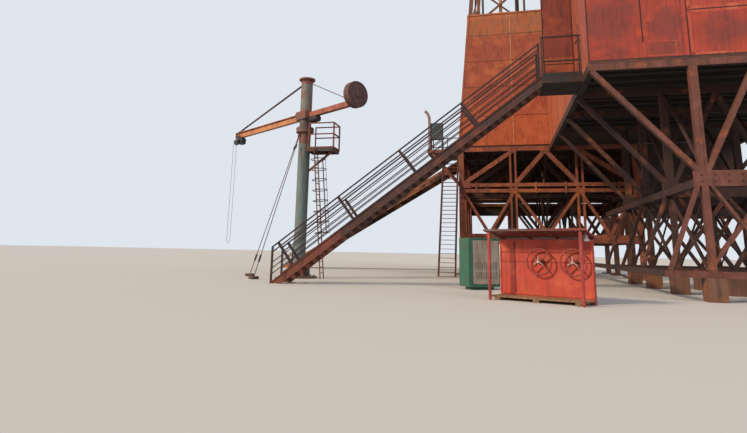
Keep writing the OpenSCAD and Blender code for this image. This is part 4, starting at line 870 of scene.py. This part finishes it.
# The crane: a column of steel pipe painted grey-green, held by three guys, with a service platform
# and a ladder in a hoop cage. Rust shows in bands where the slewing joint and the cap shed water.
CRANE_X, CRANE_Y, SLEW_TOP = -6.07, -6.8, 3.56
column_paint = weathered(
    "grey_green_column_enamel", "#6d7f7c", "#70776f", "#525d59", "#7f5a49", run=0.05, patch=0.35,
    roughness=0.6, relief=0.001, rust_at=0.69,
    bands=[(Z_AXIS, 3.22, 3.6, "#7b4a3d", 0.1), (Z_AXIS, 0.0, 0.18, "#6d5344", 0.1)])
mast_paint = weathered(
    "grey_mast_enamel_with_rusted_cap", "#7a7c76", "#776a61", "#59534e", "#855441", run=0.05, patch=0.3,
    roughness=0.6, relief=0.001, rust_at=0.67,
    bands=[(Z_AXIS, 4.74, 5.0, "#85473c", 0.05), (Z_AXIS, 3.5, 3.86, "#5d4a43", 0.05),
           (Z_AXIS, 3.86, 4.04, "#7d473a", 0.02)])
dark_crane = weathered(
    "greasy_dark_crane_steel", "#4b4644", "#3e3835", "#292524", "#6d493b", run=0.04, patch=0.2)
rod_steel = weathered(
    "dark_rusted_round_bar", "#55423c", "#45342f", "#2f2421", "#7c4f3d", run=0.03, patch=0.2)
dress(column_paint, "crane_column")
dress(rod_steel, "crane_guys")
dress(mast_paint, "crane_mast")
dress(weathered(
    "rusted_service_platform", "#77493a", "#5d3a30", "#3c2722", "#94583d", run=0.04, patch=0.25, under=0.8),
    "crane_platform")
at_crane = shift(CRANE_X, CRANE_Y, 0)
at_jib = at_crane @ turned(146)

# Bolts round the base plate and the two slewing flanges, greasy and dark, and plate stiffeners
# welded between the column and its base
flange_bolt = unit_piece("tube", at=(0, 0, 0.012), radius=0.016, depth=0.03, sides=6)
small_bolt = unit_piece("tube", radius=0.009, depth=0.03, sides=6)
for name, body, at, template, turn, radius, z in (
    ("column_base_bolts", "root", at_crane, flange_bolt, 0, 0.37, 0.04),
    ("lower_flange_bolts", "root", at_crane, small_bolt, 15, 0.185, SLEW_TOP - 0.07),
    ("upper_flange_bolts", "jib", at_jib, small_bolt, 15, 0.185, SLEW_TOP + 0.075),
):
    assemble(name, body, dark_crane,
             [(template, at @ turned(30 * i + turn) @ shift(radius, 0, z)) for i in range(12)])
gusset_plate = bevel(unit_piece("box", at=(0.205, 0, 0.13), size=(0.12, 0.012, 0.18)), 0.002)
assemble("column_foot_stiffeners", "root", column_paint,
         [(gusset_plate, at_crane @ turned(60 * i + 15)) for i in range(6)])

# The ladder's safety cage: hoops of round bar up the ladder's height, welded to five flat straps,
# all dark with rust
LADDER_FOOT, LADDER_HEAD, LADDER_Y, LADDER_TOP, HOOP = 0.64, 0.36, -0.168, 3.04, 0.175
ladder_lean = math.degrees(math.atan((LADDER_FOOT - LADDER_HEAD) / LADDER_TOP))


def cage_x(z):
    """How far from the column's middle the cage's own middle is at a height."""
    return LADDER_FOOT - z * (LADDER_FOOT - LADDER_HEAD) / LADDER_TOP + 0.06


hoop = unit_piece("ring", radius=HOOP, bar=0.0095, sides=26)
cage = [(hoop, at_crane @ shift(cage_x(z), LADDER_Y, z) @ turned(-ladder_lean, "Y"))
        for z in [1.05 + 0.25 * i for i in range(8)]]
strap_bar = bar_template(0.018, 0.007, 0.002)
for angle in (-75, -35, 0, 35, 75):
    x, y = math.cos(math.radians(angle)), math.sin(math.radians(angle))
    foot, head = [(CRANE_X + cage_x(z) + HOOP * x, CRANE_Y + LADDER_Y + HOOP * y, z) for z in (1.05, 2.8)]
    cage.append((strap_bar, laid(foot, head, (x, y, 0))))
assemble("ladder_cage", "root", rod_steel, cage)

# Turnbuckles in the guys, one near the ground and one below the column's head: forged sleeves with
# rounded ends
link = bevel(unit_piece("tube", at=(0, 0, 0.5), radius=0.024, sides=10), 0.004)
GUY_TOP, GUY_OUT = 3.42, 1.25
links = []
for angle in (120, 180, 240):
    direction = Vector((math.cos(math.radians(angle)), math.sin(math.radians(angle)), 0))
    high = Vector((CRANE_X, CRANE_Y, GUY_TOP)) + 0.169 * direction
    low = Vector((CRANE_X, CRANE_Y, 0.03)) + GUY_OUT * direction
    for start, length in ((0.10, 0.16), (0.9, 0.1)):
        a = low + (high - low) * start
        links.append((link, laid(a, a + (high - low).normalized() * length, direction)))
assemble("guy_turnbuckles", "root", dark_crane, links)

# The boom and the counter jib: rolled beams in faded orange paint, hung from the cap by a heavy
# chain-like stay; the counterweight is a round iron drum, cast dark, with a rusty rim
boom_coat = weathered(
    "faded_orange_boom_paint", "#cf8a5c", "#bd7550", "#7d4f3d", "#d79a6b", run=0.12, patch=0.5,
    roughness=0.6, relief=0.001, under=0.5, bands=[(Z_AXIS, 3.985, 4.1, "#8a513b", 0.01)])
dress(boom_coat, "crane_boom")
dress(weathered(
    "rusted_counter_jib_and_rim", "#a95f49", "#84493e", "#573632", "#b66f54", run=0.06, patch=0.3,
    under=0.5), "counter_jib")
motor_steel = weathered(
    "blue_black_motor_enamel", "#363a40", "#2f3236", "#1f2022", "#574238", run=0.04, patch=0.15,
    roughness=0.5, relief=0.0008, rust_at=0.68)
dress(motor_steel, "slewing_motor", "hoist_trolley")
BOOM_Z, BOOM_LENGTH = 3.93, 3.5
end_plate = bevel(unit_piece("box", at=(BOOM_LENGTH - 0.008, 0, BOOM_Z), size=(0.012, 0.1, 0.16)), 0.002)
lug_plate = bevel(unit_piece("box", at=(0, 0, BOOM_Z + 0.1), size=(0.2, 0.012, 0.05)), 0.003)
lugs = [(lug_plate, shift(x, s * 0.03, 0)) for x in (0.34, 3.18) for s in (-1, 1)]
assemble("boom_end_and_lug_plates", "jib", boom_coat,
         moved(at_jib, [(end_plate, Matrix())] + lugs))

# The counterweight's face and band: cast rings round a hub boss, with a band of flat bar round its
# edge. The casting is dark and pitted.
WEIGHT_Z = 4.1
drum_face = unit_piece("tube", radius=0.296, depth=0.012, sides=64)
open_faces(drum_face, lambda normal: normal.z > 0.9)
for width, height in ((0.018, -0.008), (0.05, 0.0), (0.014, 0.008), (0.055, 0.0), (0.014, -0.008),
                      (0.055, 0.0), (0.01, 0.03)):
    bpy.ops.mesh.inset(thickness=width)
    if height:
        bpy.ops.mesh.extrude_region_shrink_fatten(TRANSFORM_OT_shrink_fatten={"value": height})
bpy.ops.object.mode_set(mode="OBJECT")
cast_iron = weathered(
    "dark_cast_counterweight", "#694f4d", "#584240", "#3c2e2d", "#7a5347", run=0.2, patch=0.25,
    rust_at=0.66, grain=0.01)
assemble("counterweight_face", "jib", cast_iron,
         [(drum_face, at_jib @ shift(-1.979, 0, WEIGHT_Z) @ turned(-90, "Y"))])
bpy.ops.object.select_all(action="DESELECT")
bpy.ops.mesh.primitive_cylinder_add(vertices=64, radius=0.303, depth=0.13, end_fill_type="NOTHING",
                                    location=(0, 0, 0))
drum_band = bpy.context.object
templates.append(drum_band)
solid = drum_band.modifiers.new("wall", "SOLIDIFY")
solid.thickness = 0.006
bpy.ops.object.modifier_apply(modifier="wall")
assemble("counterweight_band", "jib", cast_iron,
         [(bevel(drum_band, 0.0015), at_jib @ shift(-1.9, 0, WEIGHT_Z) @ turned(90, "Y"))])

# Stay fittings: thick forged links, each turned against the next, along the boom's stay from the
# cap to the boom's end
chain_link = unit_piece("ring", radius=0.038, bar=0.012, sides=12)
chain_link.data.transform(scaled(0.6, 1, 1.5) @ turned(90, "X") @ turned(90, "Z"))
start, end = Vector((0.15, 0, 4.79)), Vector((3.3, 0, 4.045))
STAY_LINKS, STAY_DEG = 46, 13.3
stay_links = [(chain_link, shift(*start.lerp(end, (i + 0.5) / STAY_LINKS)) @ turned(90 + STAY_DEG, "Y")
               @ turned(90 * (i % 2), "Z")) for i in range(STAY_LINKS)]
assemble("boom_stay_links", "jib", rod_steel, moved(at_jib, stay_links))

# The slewing motor's cooling fins, cast round its case, and the hoist's gear box ends and cases,
# all in blue-black enamel
fin = unit_piece("ring", radius=0.076, bar=0.006, sides=22)
fin.data.transform(turned(90, "Y"))
assemble("motor_fins", "jib", motor_steel,
         [(fin, at_jib @ shift(-0.53 + 0.03 * i, 0, 3.79)) for i in range(9)])
HOIST_X = 3.3
gear_box = bevel(unit_piece("tube", radius=0.085, depth=0.09, sides=24), 0.014, 2)
gear_box.data.transform(turned(90, "Y"))
hoist_case = bevel(unit_piece("box", size=(0.2, 0.09, 0.1)), 0.012, 2)
assemble("hoist_gear_ends", "trolley", motor_steel,
         [(gear_box, at_jib @ shift(HOIST_X + s * 0.185, 0, 3.748)) for s in (-1, 1)]
         + [(hoist_case, at_jib @ shift(HOIST_X, s * 0.098, 3.72)) for s in (-1, 1)])

# The hoist's hand chain: one endless loop of thin chain over the hoist's wheel, hanging free. Its
# two runs are the two thin lines below the hoist, joined by a short bend.
chain_top, chain_low, chain_gap = 3.675, 0.9, 0.095
chain_x = 3.39
route = [(-chain_gap, chain_top - (chain_top - chain_low) * i / 12) for i in range(13)]
for degrees in range(20, 180, 20):
    bend = math.radians(degrees)
    route.append((-chain_gap * math.cos(bend), chain_low - chain_gap * math.sin(bend)))
route += [(chain_gap, chain_low + (chain_top - chain_low) * i / 12) for i in range(13)]
chain_points = [at_jib @ Vector((chain_x + x, 0.098, z)) for x, z in route]
chain_data = bpy.data.curves.new("hoist_hand_chain", "CURVE")
chain_data.dimensions = "3D"
chain_data.bevel_depth = 0.0045
chain_data.bevel_resolution = 2
line = chain_data.splines.new("POLY")
line.points.add(len(chain_points) - 1)
for point, place in zip(line.points, chain_points):
    point.co = (*place, 1)
hand_chain = bpy.data.objects.new("hoist_hand_chain", chain_data)
bpy.context.scene.collection.objects.link(hand_chain)
chain_data.materials.append(rod_steel)
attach(hand_chain, "trolley")

# Deep bars under the edge of the service platform, and bearers across it, welded below its plate
# and dark with grease
deck_bar = bar_template(0.02, 0.07, 0.002)
DECK_X0, DECK_X1, DECK_Y, DECK_Z = 0.16, 0.82, 0.245, 3.022
corners = [(DECK_X0, -DECK_Y, DECK_Z), (DECK_X1, -DECK_Y, DECK_Z), (DECK_X1, DECK_Y, DECK_Z),
           (DECK_X0, DECK_Y, DECK_Z)]
bearers = [(deck_bar, laid((x, -DECK_Y, 3.03), (x, DECK_Y, 3.03), Z_AXIS)) for x in (0.34, 0.5, 0.66)]
assemble("service_platform_edges", "root", dark_crane,
         moved(at_crane, border(deck_bar, corners, Z_AXIS) + bearers))

# The hand wheel shelter: a red sheet panel and posts under a sloping canopy, with a board floor. The
# panel's red is fresher than the rig's, stained round the valve spindles.
SHELTER_TURN = -26.3
at_shelter = shift(-0.816, -10.744, 0) @ turned(SHELTER_TURN)
shelter_red = weathered(
    "bright_red_panel_paint", "#c8432d", "#b03c2d", "#83322a", "#d4603f", run=0.06, patch=0.35,
    roughness=0.55, relief=0.0008, grain=0.006)
post_red = weathered(
    "crimson_post_paint", "#b23a3a", "#96343a", "#6c2b2d", "#c0563f", run=0.03, patch=0.2, roughness=0.5,
    relief=0.0006, under=0.8)
canopy_steel = weathered(
    "grey_brown_canopy_sheet", "#7d6a63", "#6a544d", "#4a3a37", "#8d5b4a", run=0.06, patch=0.3, under=0.9)
dark_red = weathered(
    "stained_dark_red_bar", "#80382f", "#6b2f29", "#472320", "#93483a", run=0.03, patch=0.2)
dress(shelter_red, "shelter_panel")
dress(post_red, "shelter_frame")
PANEL_HALF = 0.685
angle_bar, thin_bar = bar_template(0.022, 0.012, 0.002), bar_template(0.008, 0.005, 0.001)
trim = [level(angle_bar, -PANEL_HALF, PANEL_HALF, -0.005, z) for z in (0.853, 0.085)]
trim += [upright(angle_bar, s * (PANEL_HALF - 0.012), -0.005, 0.07, 0.86) for s in (-1, 1)]
assemble("panel_edge_angles", "root", shelter_red, moved(at_shelter, trim))
bars = [level(thin_bar, -PANEL_HALF + 0.03, PANEL_HALF - 0.03, -0.003, z) for z in (0.68, 0.545)]
bars.append(upright(angle_bar, -0.45, -0.003, 0.09, 0.85))
assemble("panel_thin_bars", "root", dark_red, moved(at_shelter, bars))

# The canopy's own sheet with a folded front edge, carried by four rafters: thin steel, grey with
# dust, falling to the back
_, frame_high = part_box("shelter_frame")
CANOPY_FRONT = 0.438
CANOPY_FALL = 0.09 / CANOPY_FRONT
top_z = frame_high.z
sheet = bevel(unit_piece("box", size=(1.462, 0.555, 0.003)), 0.001)
sheet_tilt = Matrix.Rotation(-math.atan(CANOPY_FALL), 4, "X")
SHEET_MID = 0.159
sheet_at = shift(0, -SHEET_MID, top_z - (CANOPY_FRONT - SHEET_MID) * CANOPY_FALL + 0.0025)
edge_strip = bar_template(0.012, 0.03, 0.002)
assemble("canopy_sheet", "root", canopy_steel,
         [(sheet, at_shelter @ sheet_at @ sheet_tilt)]
         + moved(at_shelter, [level(edge_strip, -0.73, 0.73, -0.432, top_z - 0.014, Z_AXIS)]))
rafter = bar_template(0.014, 0.02, 0.002)
rafter_front, rafter_back = top_z - 0.034, top_z - 0.034 - 0.52 * CANOPY_FALL
assemble("canopy_rafters", "root", dark_red,
         [(rafter, at_shelter @ laid((x, -0.42, rafter_front), (x, 0.10, rafter_back), Z_AXIS))
          for x in (-0.62, -0.2, 0.2, 0.62)])

# Hand wheels on valve spindles: red rims, and pale worn grips and cap nuts, with dark glands round
# the spindles on the panel
wheel_paint = weathered(
    "chipped_red_wheel_paint", "#a13a31", "#80352f", "#562926", "#b04f3f", run=0.02, patch=0.08,
    roughness=0.5, relief=0.0005)
dress(wheel_paint, "hand_wheel_left", "hand_wheel_right")
bare_steel = weathered(
    "bare_worn_spindle", "#cfc6bd", "#b7a89c", "#8b7a70", "#c09a84", run=0.02, patch=0.06, roughness=0.35,
    relief=0.0004)
WHEEL_X, WHEEL_Y, WHEEL_Z, GRIP_OUT = (-0.0375, 0.4475), -0.09, 0.55, 0.085
grip = bevel(unit_piece("tube", at=(0, 0, 0.5), radius=0.0065, sides=8), 0.0015)
cap_nut = bevel(unit_piece("tube", radius=0.022, depth=0.02, sides=6), 0.003)
cap_nut.data.transform(turned(90, "X"))
for x, body in zip(WHEEL_X, ("wheel_left", "wheel_right")):
    hub = at_shelter @ shift(x, WHEEL_Y - 0.034, WHEEL_Z)
    arms = []
    for angle in (0, 118, 242):
        out_x, out_z = GRIP_OUT * math.sin(math.radians(angle)), GRIP_OUT * math.cos(math.radians(angle))
        arms.append((grip, hub @ laid((0, 0, 0), (out_x, -0.004, out_z))))
    assemble(body + "_grips_and_nut", body, bare_steel, arms + [(cap_nut, hub)])
gland = bevel(unit_piece("tube", radius=0.045, depth=0.024, sides=20), 0.006, 2)
gland.data.transform(turned(90, "X"))
assemble("spindle_glands", "root", dark_crane,
         [(gland, at_shelter @ shift(x, -0.0125, WHEEL_Z)) for x in WHEEL_X])

# The lamp under the canopy's right end: a bowl pressed from galvanised sheet, hollow below, on a
# short bracket
lamp_bowl = unit_piece("tube", radius=0.03, depth=0.03, sides=20)
open_faces(lamp_bowl, lambda normal: normal.z < -0.9)
bpy.ops.mesh.extrude_region_move(TRANSFORM_OT_translate={"value": (0, 0, -0.03)})
bpy.ops.transform.resize(value=(1.9, 1.9, 1))
bpy.ops.mesh.extrude_region_move(TRANSFORM_OT_translate={"value": (0, 0, -0.02)})
bpy.ops.transform.resize(value=(1.05, 1.05, 1))
bpy.ops.mesh.inset(thickness=0.006)
bpy.ops.mesh.extrude_region_move(TRANSFORM_OT_translate={"value": (0, 0, 0.03)})
bpy.ops.transform.resize(value=(0.6, 0.6, 1))
bpy.ops.object.mode_set(mode="OBJECT")
assemble("canopy_lamp", "root", galvanised,
         moved(at_shelter, [(lamp_bowl, shift(0.7, -0.3, 0.9)), upright(rafter, 0.7, -0.3, 0.905, 0.955)]))

# The shelter's floor boards: sawn softwood laid side by side on the skid, grey and dusty, with the
# grain along each board
board_wood, tree = new_material("dusty_sawn_softwood")
place = add(tree, "ShaderNodeTexCoord")
along = add(tree, "ShaderNodeMapping",
            {"Rotation": (0, 0, math.radians(-SHELTER_TURN)), "Scale": (2.5, 55, 30)},
            {"Vector": (place, "Object")})
grain = add(tree, "ShaderNodeTexNoise", {"Scale": 1.0, "Detail": 6.0, "Roughness": 0.6},
            {"Vector": (along, 0)})
soil = add(tree, "ShaderNodeTexNoise", {"Scale": 5.0, "Detail": 6.0, "Roughness": 0.65},
           {"Vector": (place, "Object")})
wood_tones = [(0.3, linear("#5f4735")), (0.55, linear("#a07a58")), (0.72, linear("#c29a72"))]
wood = add(tree, "ShaderNodeValToRGB", {"stops": wood_tones}, {"Fac": (grain, 0)})
dusty = add(tree, "ShaderNodeValToRGB", {"stops": [(0.42, (0, 0, 0, 1)), (0.68, (0.8, 0.8, 0.8, 1))]},
            {"Fac": (soil, 0)})
board_colour = add(tree, "ShaderNodeMix", {"data_type": "RGBA", 7: linear("#6d5546")},
                   {0: (dusty, 0), 6: (wood, 0)})
grooves = add(tree, "ShaderNodeBump", {"Strength": 0.5, "Distance": 0.002}, {"Height": (grain, 0)})
shader = add(tree, "ShaderNodeBsdfPrincipled", {"Roughness": 0.85},
             {"Base Color": (board_colour, 2), "Normal": (grooves, 0)})
add(tree, "ShaderNodeOutputMaterial", links={"Surface": (shader, 0)})
dress(board_wood, "shelter_deck")

# The pieces that were only copied are taken out, and the box round the finished rig is found
for template in templates:
    bpy.data.objects.remove(template)
low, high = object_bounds()
